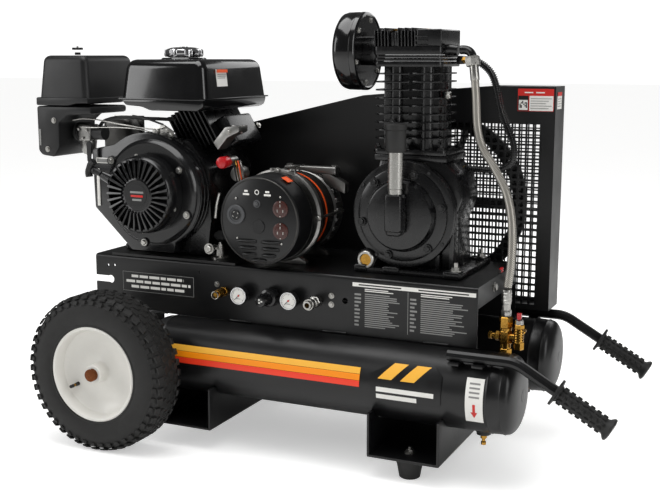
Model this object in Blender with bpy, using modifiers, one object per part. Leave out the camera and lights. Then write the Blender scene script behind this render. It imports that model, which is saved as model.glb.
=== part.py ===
"""Wheelbarrow air compressor with a belt-driven generator.

A petrol engine, a generator and a reciprocating pump stand on a folded deck over two air tanks.
Two pneumatic wheels carry the left end, two rubber feet the right end, and two handles lift it.
Units are metres, +Z is up, +X runs from the wheels to the handles and -Y is the control panel side.
Run with: blender --background --python part.py
"""
import math

import bmesh
import bpy
from mathutils import Euler, Vector

# ------------------------------------------------------------------ driving dimensions
GAP = 0.0003                 # clearance between pieces that touch
SHEET = 0.0035               # folded steel sheet
PLATE = 0.005                # welded plate

DECK_LENGTH = 0.883
DECK_WIDTH = 0.278
DECK_DEPTH = 0.1187          # height of the front and rear panels
END_FLANGE = 0.042           # height of the folded right end
NOTCH_RADIUS = 0.009
NOTCH_INSET = 0.0385
NOTCH_DROP = 0.055

TANK_RADIUS = 0.0775
TANK_WALL = 0.003
TANK_HEAD = 0.046            # depth of each dished head
TANK_SPREAD = 0.0098         # each tank's centre line outside the deck's side
TANK_OVERHANG = 0.0495       # shell past the deck's right end
TANK_LIFT = 0.0583           # tank underside above the legs' undersides
BOSS_RADIUS = 0.014
BOSS_HEIGHT = 0.008
DRAIN_THREAD = 0.004         # radius of the drain port's thread
DRAIN_STEM = 0.008
CROSSOVER_RADIUS = 0.011

FOOT_HEIGHT = 0.0434
FOOT_RADIUS = 0.026
FOOT_INSET = 0.044           # foot from the end of its leg
LEG_WIDTH = 0.147
LEG_CREST = 0.052            # how far the leg plates rise between the tanks
LEG_PROUD = 0.0077           # leg past the tank's flank
SADDLE_SLACK = 0.0002

TYRE_RADIUS = 0.166
TYRE_WIDTH = 0.092
TYRE_CLEARANCE = 0.0254      # tyre from the tank's flank
RIM_RADIUS = 0.096
TYRE_STEPS = 32
HUB_RADIUS = 0.018
HUB_OUT = 0.040              # hub from the wheel's middle, outwards
HUB_IN = 0.046
AXLE_RADIUS = 0.008
AXLE_INSET = 0.1305          # axle from the deck's left end
AXLE_TO_TANK = 0.029
CHEEK_Y = 0.112
CHEEK_REACH = 0.026          # cheek plate on each side of the axle

HANDLE_RADIUS = 0.0105
HANDLE_SPREAD = 0.0537       # handle outside its tank's centre line
HANDLE_LIFT = 0.0175         # tube centre above the tank along the tank's radius
HANDLE_OVERLAP = 0.086       # straight tube over the tank
HANDLE_BEND = 0.043          # bend past the end of the shell
HANDLE_BEND_RADIUS = 0.060
HANDLE_SLOPE = math.radians(-30)
HANDLE_REACH = 0.187         # sloping length to the end of the grip
BEND_STEPS = 4
GRIP_LENGTH = 0.116
GRIP_RADIUS = 0.0165
GRIP_FLANGE = 0.0265
GRIP_CAP = 0.006

ENGINE_INSET = 0.1545        # crankshaft from the deck's left end
ENGINE_SHAFT = 0.1445        # crankshaft height above the deck
ENGINE_FRONT_Y = -0.100      # joint between the crankcase and the fan housing
ENGINE_BACK_Y = 0.125
ENGINE_SHAFT_RADIUS = 0.0127
SLIDE_THICKNESS = 0.0055
FAN_DEPTH = 0.050
RECOIL_RADIUS = 0.085
RECOIL_DEPTH = 0.050
PULL_NECK = 0.020
PULL_LEAN = math.radians(-68)
PULL_Y = -0.185
DIPSTICK_X = 0.1205
FUEL_X = 0.0255              # tank's middle from the crankshaft
FUEL_LENGTH = 0.203
FUEL_FRONT_Y = -0.130
FUEL_BACK_Y = 0.140
FUEL_LIFT = 0.172            # tank's underside above the crankshaft
FUEL_HEIGHT = 0.109
FUEL_SEAM = 0.026            # seam above the tank's underside
FUEL_NECK_RADIUS = 0.030
FUEL_WALL = 0.0025
CAP_RADIUS = 0.043
CAP_HEIGHT = 0.0235
CLEANER_X = -0.223
CLEANER_LENGTH = 0.140
CLEANER_FRONT_Y = -0.150
CLEANER_BACK_Y = 0.050
CLEANER_LIFT = 0.180         # cover's lower edge above the crankshaft
CLEANER_HEIGHT = 0.110
CLEANER_DUCT = 0.113         # depth of the duct under the cover
CLEANER_KNOB_Y = -0.060

GENERATOR_SHIFT = -0.005     # generator from the middle between engine and pump
GENERATOR_SHAFT = 0.1025
GENERATOR_RADIUS = 0.0935
GENERATOR_FRONT_Y = -0.160
GENERATOR_BACK_Y = 0.115
GENERATOR_SHAFT_RADIUS = 0.010
DRUM_DEPTH = 0.085
BREAKER_X = -0.004
BREAKER_Z = 0.035
BREAKER_DEPTH = 0.022
BREAKER_RADIUS = 0.0045

PUMP_INSET = 0.1785          # crankshaft from the deck's right end
PUMP_SHAFT = 0.1215
PUMP_FRONT_Y = -0.100
PUMP_BACK_Y = 0.100
PUMP_SHAFT_RADIUS = 0.014
PUMP_COVER_RADIUS = 0.108
PUMP_NECK = 0.117            # joint with the cylinder block above the crankshaft
CYLINDER_LEFT = 0.081
CYLINDER_LENGTH = 0.150      # finned block along X
CYLINDER_DEPTH = 0.125       # and along Y
CYLINDER_FRONT_Y = -0.050
CYLINDER_HEIGHT = 0.184
FINS = 9
FIN_THICKNESS = 0.006
HEAD_HEIGHT = 0.066
HEAD_FINS = 7
OUTLET_Y = -0.020
FILTER_RADIUS = 0.079
FILTER_DEPTH = 0.050
FILTER_NECK = 0.030
FILTER_STANDOFF = 0.027
FILTER_LIFT = 0.020

FLYWHEEL_RADIUS = 0.178
SPOKES = 5
ENGINE_PULLEY_RADIUS = 0.050
GENERATOR_PULLEY_RADIUS = 0.036
BELT_THICKNESS = 0.008
BELT_WIDTH = 0.012
BELT_CLEARANCE = 0.0015      # belt above the bottom of its groove
PUMP_BELT_INSET = 0.0286     # belt from the guard's front sheet
GENERATOR_BELT_INSET = 0.0546

GUARD_STANDOFF = 0.0044      # guard from the deck's rear panel
GUARD_DEPTH = 0.080
GUARD_SHEET = 0.0015
GUARD_PAST_DECK = 0.0695
GUARD_PAST_ENGINE = 0.088
GUARD_TOP = 0.371            # above the deck
GUARD_KNEE_HEIGHT = 0.3475
GUARD_LEFT_HEIGHT = 0.2395
GUARD_DROP = 0.0995          # below the deck

FITTING_DROP = 0.056         # row of panel fittings below the deck
SAFETY_X = -0.1113
TANK_GAUGE_X = -0.0631
REGULATOR_X = 0.0030
OUTLET_GAUGE_X = 0.0524
COUPLER_X = 0.1050
HOSE_RADIUS = 0.009
VALVE_PAST_DECK = 0.0450
VALVE_INSET = 0.039          # valve inside the front tank's top line, as seen from the panel
VALVE_BELOW_DECK = 0.058
PILOT_OFFSET = 0.026
PILOT_HEIGHT = 0.058
TOGGLE_RADIUS = 0.004        # rounded foot of the unloader lever, which turns about its middle
TOGGLE_LENGTH = 0.009

# ------------------------------------------------------------------ derived places
DECK_LEFT = -DECK_LENGTH / 2
DECK_RIGHT = DECK_LENGTH / 2
PANEL_Y = -DECK_WIDTH / 2
AXLE_X = DECK_LEFT + AXLE_INSET
AXLE_Z = TYRE_RADIUS
TANK_LEFT = AXLE_X + AXLE_TO_TANK + TANK_HEAD      # ends of the straight shell
TANK_RIGHT = DECK_RIGHT + TANK_OVERHANG
TANK_LENGTH = TANK_RIGHT - TANK_LEFT
TANK_MID_X = (TANK_LEFT + TANK_RIGHT) / 2
TANK_Y = DECK_WIDTH / 2 + TANK_SPREAD
TANK_Z = FOOT_HEIGHT + TANK_LIFT + TANK_RADIUS
DRAIN_X = TANK_RIGHT - 0.0285
CROSSOVER_X = TANK_MID_X - 0.045
LEG_FRONT_Y = TANK_Y + TANK_RADIUS + LEG_PROUD
WHEEL_LEG_X = TANK_LEFT + LEG_WIDTH / 2 - 0.0077
FOOT_LEG_X = TANK_RIGHT - 0.1635
FOOT_Y = LEG_FRONT_Y - FOOT_INSET
PANEL_BOTTOM = TANK_Z + TANK_RADIUS + GAP
DECK_TOP = PANEL_BOTTOM + DECK_DEPTH
WHEEL_Y = TANK_Y + TANK_RADIUS + TYRE_CLEARANCE + TYRE_WIDTH / 2
HANDLE_Y = TANK_Y + HANDLE_SPREAD
HANDLE_START_X = TANK_RIGHT - HANDLE_OVERLAP
HANDLE_BEND_X = TANK_RIGHT + HANDLE_BEND
ENGINE_X = DECK_LEFT + ENGINE_INSET
ENGINE_Z = DECK_TOP + ENGINE_SHAFT
FUEL_BOTTOM = ENGINE_Z + FUEL_LIFT
FUEL_TOP = FUEL_BOTTOM + FUEL_HEIGHT
CLEANER_SPLIT = ENGINE_Z + CLEANER_LIFT
CLEANER_TOP = CLEANER_SPLIT + CLEANER_HEIGHT
CLEANER_BOTTOM = CLEANER_SPLIT - CLEANER_DUCT
PUMP_X = DECK_RIGHT - PUMP_INSET
PUMP_Z = DECK_TOP + PUMP_SHAFT
PUMP_DECK_Z = PUMP_Z + PUMP_NECK      # joint between the crankcase and the cylinder block
OUTLET_Z = PUMP_DECK_Z + CYLINDER_HEIGHT + 0.022
GENERATOR_X = (ENGINE_X + PUMP_X) / 2 + GENERATOR_SHIFT
GENERATOR_Z = DECK_TOP + GENERATOR_SHAFT
GUARD_FRONT_Y = DECK_WIDTH / 2 + GUARD_STANDOFF
PUMP_BELT_Y = GUARD_FRONT_Y + PUMP_BELT_INSET
GENERATOR_BELT_Y = GUARD_FRONT_Y + GENERATOR_BELT_INSET
GUARD_RIGHT_X = DECK_RIGHT + GUARD_PAST_DECK
GUARD_LEFT_X = ENGINE_X - GUARD_PAST_ENGINE
GUARD_KNEE_X = PUMP_X - 0.179
GUARD_LEVEL_X = PUMP_X + 0.113
FITTING_Z = DECK_TOP - FITTING_DROP
VALVE_X = DECK_RIGHT + VALVE_PAST_DECK
VALVE_Y = PANEL_Y + VALVE_INSET
VALVE_TOP = DECK_TOP - VALVE_BELOW_DECK

# routes of the two air lines: X from the pump's crankshaft, Y, Z above the deck
HOSE_ROUTE = [
    (0.131, -0.030, 0.368), (0.138, -0.035, 0.295), (0.152, -0.040, 0.255), (0.177, -0.050, 0.222),
    (0.208, -0.065, 0.173), (0.224, -0.080, 0.118), (0.228, -0.092, 0.050),
]
INTERCOOLER_ROUTE = [
    (0.0695, 0.045, 0.425), (0.085, 0.045, 0.425), (0.105, 0.045, 0.425), (0.142, 0.045, 0.395),
    (0.164, 0.045, 0.320), (0.188, 0.045, 0.262), (0.188, 0.045, 0.226), (0.160, 0.045, 0.206),
    (0.110, 0.045, 0.206), (0.088, 0.045, 0.206), (0.0667, 0.045, 0.206),
]

MATERIALS = {
    "black_paint": ((0.012, 0.012, 0.013), 0.0, 0.35),
    "cast_black": ((0.018, 0.018, 0.019), 0.1, 0.45),
    "black_plastic": ((0.02, 0.02, 0.02), 0.0, 0.5),
    "rubber": ((0.015, 0.015, 0.016), 0.0, 0.8),
    "rim_white": ((0.75, 0.74, 0.72), 0.0, 0.4),
    "steel": ((0.5, 0.5, 0.5), 1.0, 0.35),
    "chrome": ((0.7, 0.7, 0.7), 1.0, 0.1),
    "aluminium": ((0.6, 0.6, 0.61), 1.0, 0.45),
    "brass": ((0.62, 0.42, 0.16), 1.0, 0.3),
    "red_plastic": ((0.5, 0.03, 0.02), 0.0, 0.45),
}

# ------------------------------------------------------------------ helpers
TOWARD = {
    "+X": (0, math.pi / 2, 0),
    "-X": (0, -math.pi / 2, 0),
    "+Y": (-math.pi / 2, 0, 0),
    "-Y": (math.pi / 2, 0, 0),
    "+Z": (0, 0, 0),
    "-Z": (math.pi, 0, 0),
}


def clear_scene():
    """Start from an empty scene."""
    for obj in list(bpy.data.objects):
        bpy.data.objects.remove(obj, do_unlink=True)


def new_collection(name):
    """Add a collection to the scene."""
    collection = bpy.data.collections.new(name)
    bpy.context.scene.collection.children.link(collection)
    return collection


def principled(name, tag):
    """One Principled material for a sub-part."""
    colour, metallic, roughness = MATERIALS[tag]
    material = bpy.data.materials.new(name + "_" + tag)
    material.use_nodes = True
    shader = material.node_tree.nodes["Principled BSDF"]
    shader.inputs["Base Color"].default_value = (*colour, 1)
    shader.inputs["Metallic"].default_value = metallic
    shader.inputs["Roughness"].default_value = roughness
    return material


def adopt(obj, name, tag):
    """Name a finished sub-part, give it its material and parent it to the machine."""
    obj.name = name
    obj.data.name = name
    obj.data.materials.clear()
    obj.data.materials.append(principled(name, tag))
    for other in list(obj.users_collection):
        other.objects.unlink(obj)
    PARTS.objects.link(obj)
    obj.parent = MACHINE
    return obj


def hide_tool(obj):
    """Keep a boolean tool out of the model."""
    for other in list(obj.users_collection):
        other.objects.unlink(obj)
    CUTTERS.objects.link(obj)
    obj.hide_render = True
    obj.display_type = "WIRE"
    obj.parent = MACHINE
    return obj


def link_mesh(mesh, location=(0, 0, 0), turn="+Z"):
    """Put a mesh in the scene with its local Z turned to the named direction."""
    obj = bpy.data.objects.new("piece", mesh)
    bpy.context.scene.collection.objects.link(obj)
    obj.location = location
    obj.rotation_euler = TOWARD[turn]
    return obj


def block(low, high, bevel=0.0, segments=2):
    """A box between two corners, with its origin at its middle and edges rounded if asked."""
    mesh = bpy.data.meshes.new("block")
    shape = bmesh.new()
    bmesh.ops.create_cube(shape, size=1.0)
    size = Vector(high) - Vector(low)
    bmesh.ops.scale(shape, vec=size, verts=shape.verts)
    shape.to_mesh(mesh)
    shape.free()
    obj = link_mesh(mesh, (Vector(high) + Vector(low)) / 2)
    if bevel:
        rounding = obj.modifiers.new("edges", "BEVEL")
        rounding.width = min(bevel, 0.45 * min(size))
        rounding.segments = segments
        mesh.shade_smooth()
        mesh.set_sharp_from_angle(angle=math.radians(30))
    return obj


def rod(centre, turn, length, radius, sides=24, tip_radius=None):
    """A cylinder or cone that starts at centre and runs in the named direction."""
    mesh = bpy.data.meshes.new("rod")
    shape = bmesh.new()
    bmesh.ops.create_cone(
        shape, cap_ends=True, cap_tris=False, segments=sides,
        radius1=radius, radius2=radius if tip_radius is None else tip_radius, depth=length,
    )
    bmesh.ops.translate(shape, vec=(0, 0, length / 2), verts=shape.verts)
    shape.to_mesh(mesh)
    shape.free()
    mesh.shade_smooth()
    mesh.set_sharp_from_angle(angle=math.radians(40))
    return link_mesh(mesh, centre, turn)


def turned(profile, centre, turn, steps=24, closed=False):
    """A turned piece: (radius, height) points that run down the outer side, spun about local Z."""
    mesh = bpy.data.meshes.new("turned")
    shape = bmesh.new()
    verts = [shape.verts.new((radius, 0, height)) for radius, height in profile]
    pairs = list(zip(verts, verts[1:]))
    if closed:
        pairs.append((verts[-1], verts[0]))
    for first, second in pairs:
        shape.edges.new((first, second))
    shape.to_mesh(mesh)
    shape.free()
    obj = link_mesh(mesh, centre, turn)
    screw = obj.modifiers.new("turn", "SCREW")
    screw.axis = "Z"
    screw.steps = steps
    screw.render_steps = steps
    screw.use_merge_vertices = True
    screw.merge_threshold = 0.0001
    screw.use_smooth_shade = True
    return obj


def outline(points, centre, turn, thickness, holes=()):
    """A flat outline with holes, as thick as asked, centred on its plane."""
    curve = bpy.data.curves.new("outline", "CURVE")
    curve.dimensions = "2D"
    curve.fill_mode = "BOTH"
    curve.extrude = thickness / 2
    for loop in (points, *holes):
        spline = curve.splines.new("POLY")
        spline.points.add(len(loop) - 1)
        for point, (x, y) in zip(spline.points, loop):
            point.co = (x, y, 0, 1)
        spline.use_cyclic_u = True
    obj = bpy.data.objects.new("outline", curve)
    bpy.context.scene.collection.objects.link(obj)
    obj.location = centre
    obj.rotation_euler = TOWARD[turn]
    return obj


def tube(points, radius, bevel_resolution=2):
    """A round bar along a list of points, with filled ends."""
    curve = bpy.data.curves.new("tube", "CURVE")
    curve.dimensions = "3D"
    curve.bevel_depth = radius
    curve.bevel_resolution = bevel_resolution
    curve.use_fill_caps = True
    spline = curve.splines.new("POLY")
    spline.points.add(len(points) - 1)
    for point, place in zip(spline.points, points):
        point.co = (*place, 1)
    obj = bpy.data.objects.new("tube", curve)
    bpy.context.scene.collection.objects.link(obj)
    return obj


def as_mesh(curve_object):
    """Turn a curve into a welded mesh so that it can be cut or joined."""
    bpy.context.view_layer.update()
    graph = bpy.context.evaluated_depsgraph_get()
    mesh = bpy.data.meshes.new_from_object(curve_object.evaluated_get(graph))
    shape = bmesh.new()
    shape.from_mesh(mesh)
    bmesh.ops.remove_doubles(shape, verts=shape.verts, dist=0.00001)
    bmesh.ops.recalc_face_normals(shape, faces=shape.faces)
    shape.to_mesh(mesh)
    shape.free()
    obj = bpy.data.objects.new("welded", mesh)
    bpy.context.scene.collection.objects.link(obj)
    obj.matrix_world = curve_object.matrix_world
    bpy.data.objects.remove(curve_object, do_unlink=True)
    return obj


def combine(obj, tool, operation):
    """Cut or join with a tool that stays hidden."""
    modifier = obj.modifiers.new(operation.lower(), "BOOLEAN")
    modifier.operation = operation
    modifier.solver = "EXACT"
    modifier.object = hide_tool(tool)
    return obj


def cut(obj, *tools):
    """Take tools away from a piece."""
    for tool in tools:
        combine(obj, tool, "DIFFERENCE")
    return obj


def join(obj, *tools):
    """Weld tools to a piece."""
    for tool in tools:
        combine(obj, tool, "UNION")
    return obj


def arc(centre_x, centre_y, radius, start, end, count):
    """Points along an arc, angles in degrees."""
    points = []
    for index in range(count):
        angle = math.radians(start + (end - start) * index / (count - 1))
        points.append((centre_x + radius * math.cos(angle), centre_y + radius * math.sin(angle)))
    return points


def smooth_route(points, count):
    """Evenly read points from a Catmull-Rom curve through a route."""
    route = [Vector(point) for point in points]
    route = [2 * route[0] - route[1], *route, 2 * route[-1] - route[-2]]
    spans = len(route) - 3
    result = []
    for index in range(count):
        place = spans * index / (count - 1)
        span = min(int(place), spans - 1)
        t = place - span
        a, b, c, d = route[span:span + 4]
        result.append(0.5 * (2 * b + (c - a) * t + (2 * a - 5 * b + 4 * c - d) * t * t
                             + (3 * b - a - 3 * c + d) * t ** 3))
    return result


# ------------------------------------------------------------------ tanks
def head_profile(radius, depth, count=5):
    """A dished head from its pole to the shell, as radius and height above the shell's end."""
    points = []
    for index in range(count):
        angle = math.radians(90 - 90 * index / (count - 1))
        points.append((radius * math.cos(angle) ** 0.8 if index else 0.0, depth * math.sin(angle)))
    return points


def tank(name, side):
    """An air tank: a hollow shell with dished heads, a drain boss and a drain port."""
    half = TANK_LENGTH / 2
    outer = head_profile(TANK_RADIUS, TANK_HEAD)
    inner = head_profile(TANK_RADIUS - TANK_WALL, TANK_HEAD - TANK_WALL)
    skin = [(r, half + h) for r, h in outer] + [(r, -half - h) for r, h in reversed(outer)]
    hollow = [(r, half + h) for r, h in inner] + [(r, -half - h) for r, h in reversed(inner)]
    place = (TANK_MID_X, side * TANK_Y, TANK_Z)
    obj = turned(skin, place, "+X")
    boss_at = (DRAIN_X, side * TANK_Y, TANK_Z - TANK_RADIUS - BOSS_HEIGHT)
    join(obj, rod(boss_at, "+Z", BOSS_HEIGHT + 0.004, BOSS_RADIUS, 20))
    cut(obj, turned(hollow, place, "+X"))
    bore_at = (DRAIN_X, side * TANK_Y, TANK_Z - TANK_RADIUS - BOSS_HEIGHT - 0.001)
    cut(obj, rod(bore_at, "+Z", BOSS_HEIGHT + TANK_WALL + 0.006, DRAIN_THREAD + GAP, 16))
    adopt(obj, name, "black_paint")


def drain_cock(name, side):
    """A brass drain cock that screws into the boss under a tank."""
    stem = DRAIN_STEM
    body = [
        (0, stem), (DRAIN_THREAD, stem), (DRAIN_THREAD, -GAP), (0.0065, -GAP), (0.0065, -0.008),
        (0.0035, -0.010), (0.0035, -0.014), (0.0052, -0.016), (0.0052, -0.021), (0, -0.021),
    ]
    place = (DRAIN_X, side * TANK_Y, TANK_Z - TANK_RADIUS - BOSS_HEIGHT)
    adopt(turned(body, place, "+Z", 10), name, "brass")


def crossover_pipe():
    """The pipe that joins the two tanks, fitted against their inner flanks."""
    inner_flank = TANK_Y - TANK_RADIUS - GAP
    place = (CROSSOVER_X, -inner_flank, TANK_Z)
    adopt(rod(place, "+Y", 2 * inner_flank, CROSSOVER_RADIUS, 20), "crossover_pipe", "black_paint")


# ------------------------------------------------------------------ frame
def leg(name, middle_x):
    """An open-ended channel that carries both tanks in round saddles."""
    low_x = middle_x - LEG_WIDTH / 2
    high_x = middle_x + LEG_WIDTH / 2
    top = TANK_Z - TANK_RADIUS + LEG_CREST
    obj = block((low_x, -LEG_FRONT_Y, FOOT_HEIGHT), (high_x, LEG_FRONT_Y, top))
    cut(obj, block((low_x + PLATE, -LEG_FRONT_Y - 0.01, FOOT_HEIGHT + PLATE),
                   (high_x - PLATE, LEG_FRONT_Y + 0.01, top + 0.01)))
    for side in (-1, 1):
        cradle = rod((low_x - 0.01, side * TANK_Y, TANK_Z), "+X", LEG_WIDTH + 0.02,
                     TANK_RADIUS + GAP + SADDLE_SLACK, 32)
        outer = side * (TANK_Y + 0.055)
        edges = sorted((outer, side * (LEG_FRONT_Y + 0.01)))
        shoulder = block((low_x - 0.01, edges[0], TANK_Z - TANK_RADIUS + 0.012),
                         (high_x + 0.01, edges[1], top + 0.01))
        cut(obj, cradle, shoulder)
    adopt(obj, name, "black_paint")


def rubber_foot(name, side):
    """A tapered rubber foot bolted under the foot leg."""
    foot = [
        (0, FOOT_HEIGHT - GAP), (FOOT_RADIUS - 0.004, FOOT_HEIGHT - GAP), (FOOT_RADIUS, FOOT_HEIGHT - 0.006),
        (FOOT_RADIUS - 0.002, 0.012), (FOOT_RADIUS - 0.005, 0.0), (0, 0.0),
    ]
    adopt(turned(foot, (FOOT_LEG_X, side * FOOT_Y, 0), "+Z", 20), name, "rubber")


def deck():
    """The folded deck with its panels, its end flange and the cheeks that hold the axle."""
    half = DECK_WIDTH / 2
    obj = block((DECK_LEFT, -half, PANEL_BOTTOM), (DECK_RIGHT, half, DECK_TOP))
    cut(obj, block((DECK_LEFT - 0.01, -half + SHEET, PANEL_BOTTOM - 0.01),
                   (DECK_RIGHT - SHEET, half - SHEET, DECK_TOP - SHEET)))
    cut(obj, block((DECK_RIGHT - 2 * SHEET, -half + SHEET, PANEL_BOTTOM - 0.01),
                   (DECK_RIGHT + 0.01, half - SHEET, DECK_TOP - END_FLANGE)))
    notch_x = DECK_LEFT + NOTCH_INSET
    notch_z = DECK_TOP - NOTCH_DROP
    cut(obj, rod((notch_x, -half - 0.01, notch_z), "+Y", DECK_WIDTH + 0.02, NOTCH_RADIUS, 20))
    cut(obj, block((DECK_LEFT - 0.01, -half - 0.01, notch_z - 0.006),
                   (notch_x, half + 0.01, notch_z + 0.006)))
    for side in (-1, 1):
        edges = sorted((side * CHEEK_Y, side * (CHEEK_Y - PLATE)))
        cheek = block((AXLE_X - CHEEK_REACH, edges[0], AXLE_Z - CHEEK_REACH),
                      (AXLE_X + CHEEK_REACH, edges[1], DECK_TOP - SHEET / 2))
        join(obj, cheek)
    cut(obj, rod((AXLE_X, -CHEEK_Y - 0.01, AXLE_Z), "+Y", 2 * CHEEK_Y + 0.02, AXLE_RADIUS + GAP, 24))
    adopt(obj, "deck", "black_paint")


def handle_height():
    """Height of the handle tube's straight part, resting on its pad on the tank."""
    across = HANDLE_Y - TANK_Y
    reach = TANK_RADIUS + HANDLE_LIFT
    return TANK_Z + math.sqrt(reach * reach - across * across)


def handle_route():
    """The tube's centre line in its own XZ plane, up to the start of its sloping part."""
    points = [(HANDLE_START_X, handle_height())]
    half_bend = HANDLE_BEND_RADIUS * math.tan(-HANDLE_SLOPE / 2)
    start_x = HANDLE_BEND_X - half_bend
    for index in range(BEND_STEPS + 1):
        angle = -HANDLE_SLOPE * index / BEND_STEPS
        points.append((start_x + HANDLE_BEND_RADIUS * math.sin(angle),
                       handle_height() - HANDLE_BEND_RADIUS * (1 - math.cos(angle))))
    return points


def along_handle(distance):
    """A point on the sloping part, measured from the end of the bend."""
    x, z = handle_route()[-1]
    return x + distance * math.cos(HANDLE_SLOPE), z + distance * math.sin(HANDLE_SLOPE)


def handle(name, side):
    """A handle tube along a tank's shoulder, bent down to the grip."""
    points = handle_route()
    points.append(along_handle(HANDLE_REACH - GRIP_CAP - GAP))
    placed = [(x, side * HANDLE_Y, z) for x, z in points]
    adopt(as_mesh(tube(placed, HANDLE_RADIUS, 3)), name, "black_paint")


def grip(name, side):
    """A rubber grip with a hand guard, a sleeve and a flared, closed end."""
    bore = HANDLE_RADIUS + GAP
    profile = [
        (0, 0), (GRIP_FLANGE - 0.004, 0), (GRIP_FLANGE, -0.005), (GRIP_RADIUS, -0.015),
        (GRIP_RADIUS, 0.010 - GRIP_LENGTH), (GRIP_FLANGE, 0.003 - GRIP_LENGTH),
        (GRIP_FLANGE, -GRIP_LENGTH), (bore, -GRIP_LENGTH), (bore, -GRIP_CAP), (0, -GRIP_CAP),
    ]
    x, z = along_handle(HANDLE_REACH)
    obj = turned(profile, (x, side * HANDLE_Y, z), "+Z", 16)
    obj.rotation_euler = (0, math.pi / 2 - HANDLE_SLOPE, 0)
    adopt(obj, name, "rubber")


# ------------------------------------------------------------------ wheels
def wheel(side_name, side):
    """A dished rim with a hub tube on the axle, and its pneumatic tyre."""
    place = (AXLE_X, side * WHEEL_Y, AXLE_Z)
    turn = "-Y" if side < 0 else "+Y"
    half = TYRE_WIDTH / 2
    bore = AXLE_RADIUS + GAP
    seat = RIM_RADIUS - 0.008
    rim = [
        (bore, HUB_OUT), (HUB_RADIUS, HUB_OUT), (HUB_RADIUS, 0.006), (0.060, 0.010), (0.076, 0.026),
        (seat - 0.004, 0.034), (RIM_RADIUS, half - 0.006), (RIM_RADIUS + 0.003, half - 0.004),
        (RIM_RADIUS + 0.003, half - 0.008), (seat, 0.030), (seat, -0.030),
        (RIM_RADIUS + 0.003, 0.008 - half), (RIM_RADIUS, 0.004 - half), (seat - 0.004, -0.031),
        (seat - 0.004, 0.026), (0.073, 0.020), (0.058, 0.004), (HUB_RADIUS, 0.000), (HUB_RADIUS, -HUB_IN),
        (bore, -HUB_IN),
    ]
    adopt(turned(rim, place, turn, 26, closed=True), side_name + "_wheel_rim", "rim_white")
    inner = (seat + GAP) / math.cos(math.pi / TYRE_STEPS)
    tyre = [
        (inner, 0.0290), (RIM_RADIUS + 0.0035, half - 0.0085), (RIM_RADIUS + 0.006, half - 0.002),
        (TYRE_RADIUS - 0.040, half), (TYRE_RADIUS - 0.016, half - 0.003), (TYRE_RADIUS - 0.004, half - 0.014),
        (TYRE_RADIUS, 0.018), (TYRE_RADIUS, -0.018),
        (TYRE_RADIUS - 0.004, 0.014 - half), (TYRE_RADIUS - 0.016, 0.003 - half),
        (TYRE_RADIUS - 0.040, -half), (RIM_RADIUS + 0.006, 0.002 - half),
        (RIM_RADIUS + 0.0035, 0.0085 - half), (inner, -0.0290),
    ]
    adopt(turned(tyre, place, turn, TYRE_STEPS, closed=True), side_name + "_tyre", "rubber")


def axle():
    """The axle rod through the cheeks and both hubs, with a washer head on each end."""
    reach = WHEEL_Y + HUB_OUT + GAP
    profile = [
        (0, reach + 0.010), (AXLE_RADIUS - 0.001, reach + 0.010), (AXLE_RADIUS, reach + 0.009),
        (AXLE_RADIUS, reach + 0.004), (AXLE_RADIUS + 0.005, reach + 0.004), (AXLE_RADIUS + 0.005, reach),
        (AXLE_RADIUS, reach),
    ]
    mirrored = [(r, -h) for r, h in reversed(profile)]
    adopt(turned(profile + mirrored, (AXLE_X, 0, AXLE_Z), "+Y", 16), "axle", "steel")


# ------------------------------------------------------------------ engine
def slide_plate():
    """The plate that the engine is bolted to, slotted to slide for belt tension."""
    low = (ENGINE_X - 0.112, PANEL_Y + 0.002, DECK_TOP + GAP)
    high = (ENGINE_X + 0.200, -PANEL_Y - 0.012, DECK_TOP + SLIDE_THICKNESS)
    adopt(block(low, high), "slide_plate", "black_paint")


def engine_block():
    """Crankcase and slanted cylinder with its head, behind the fan housing."""
    bottom = DECK_TOP + SLIDE_THICKNESS + GAP - ENGINE_Z
    points = [
        (-0.100, bottom), (0.105, bottom), (0.120, bottom + 0.030), (0.120, 0.045), (0.070, 0.120),
        (-0.060, 0.150), (-0.155, 0.140), (-0.190, 0.090), (-0.175, 0.010), (-0.115, -0.060),
    ]
    thickness = ENGINE_BACK_Y - ENGINE_FRONT_Y
    middle = (ENGINE_X, (ENGINE_BACK_Y + ENGINE_FRONT_Y) / 2, ENGINE_Z)
    adopt(outline(points, middle, "-Y", thickness), "engine_block", "cast_black")


def fan_housing():
    """The sheet shroud around the fan, in front of the crankcase."""
    bottom = DECK_TOP + SLIDE_THICKNESS + 0.008 - ENGINE_Z
    points = [
        (-0.052, bottom), (0.060, bottom), *arc(0, 0, 0.124, -50, 38, 7), (0.070, 0.118),
        (-0.050, 0.128), (-0.148, 0.112), (-0.149, -0.038),
    ]
    middle = (ENGINE_X, ENGINE_FRONT_Y - GAP - FAN_DEPTH / 2, ENGINE_Z)
    adopt(outline(points, middle, "-Y", FAN_DEPTH), "fan_housing", "black_paint")


def recoil_starter():
    """The domed recoil starter on the fan housing, with a socket for the pull handle's guide."""
    profile = [
        (0, RECOIL_DEPTH), (0.036, RECOIL_DEPTH), (0.040, RECOIL_DEPTH - 0.004),
        (0.070, RECOIL_DEPTH - 0.012), (RECOIL_RADIUS, RECOIL_DEPTH - 0.026), (RECOIL_RADIUS, 0), (0, 0),
    ]
    place = (ENGINE_X, ENGINE_FRONT_Y - 2 * GAP - FAN_DEPTH, ENGINE_Z)
    obj = turned(profile, place, "-Y", 28)
    adopt(obj, "recoil_starter", "black_plastic")


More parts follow.
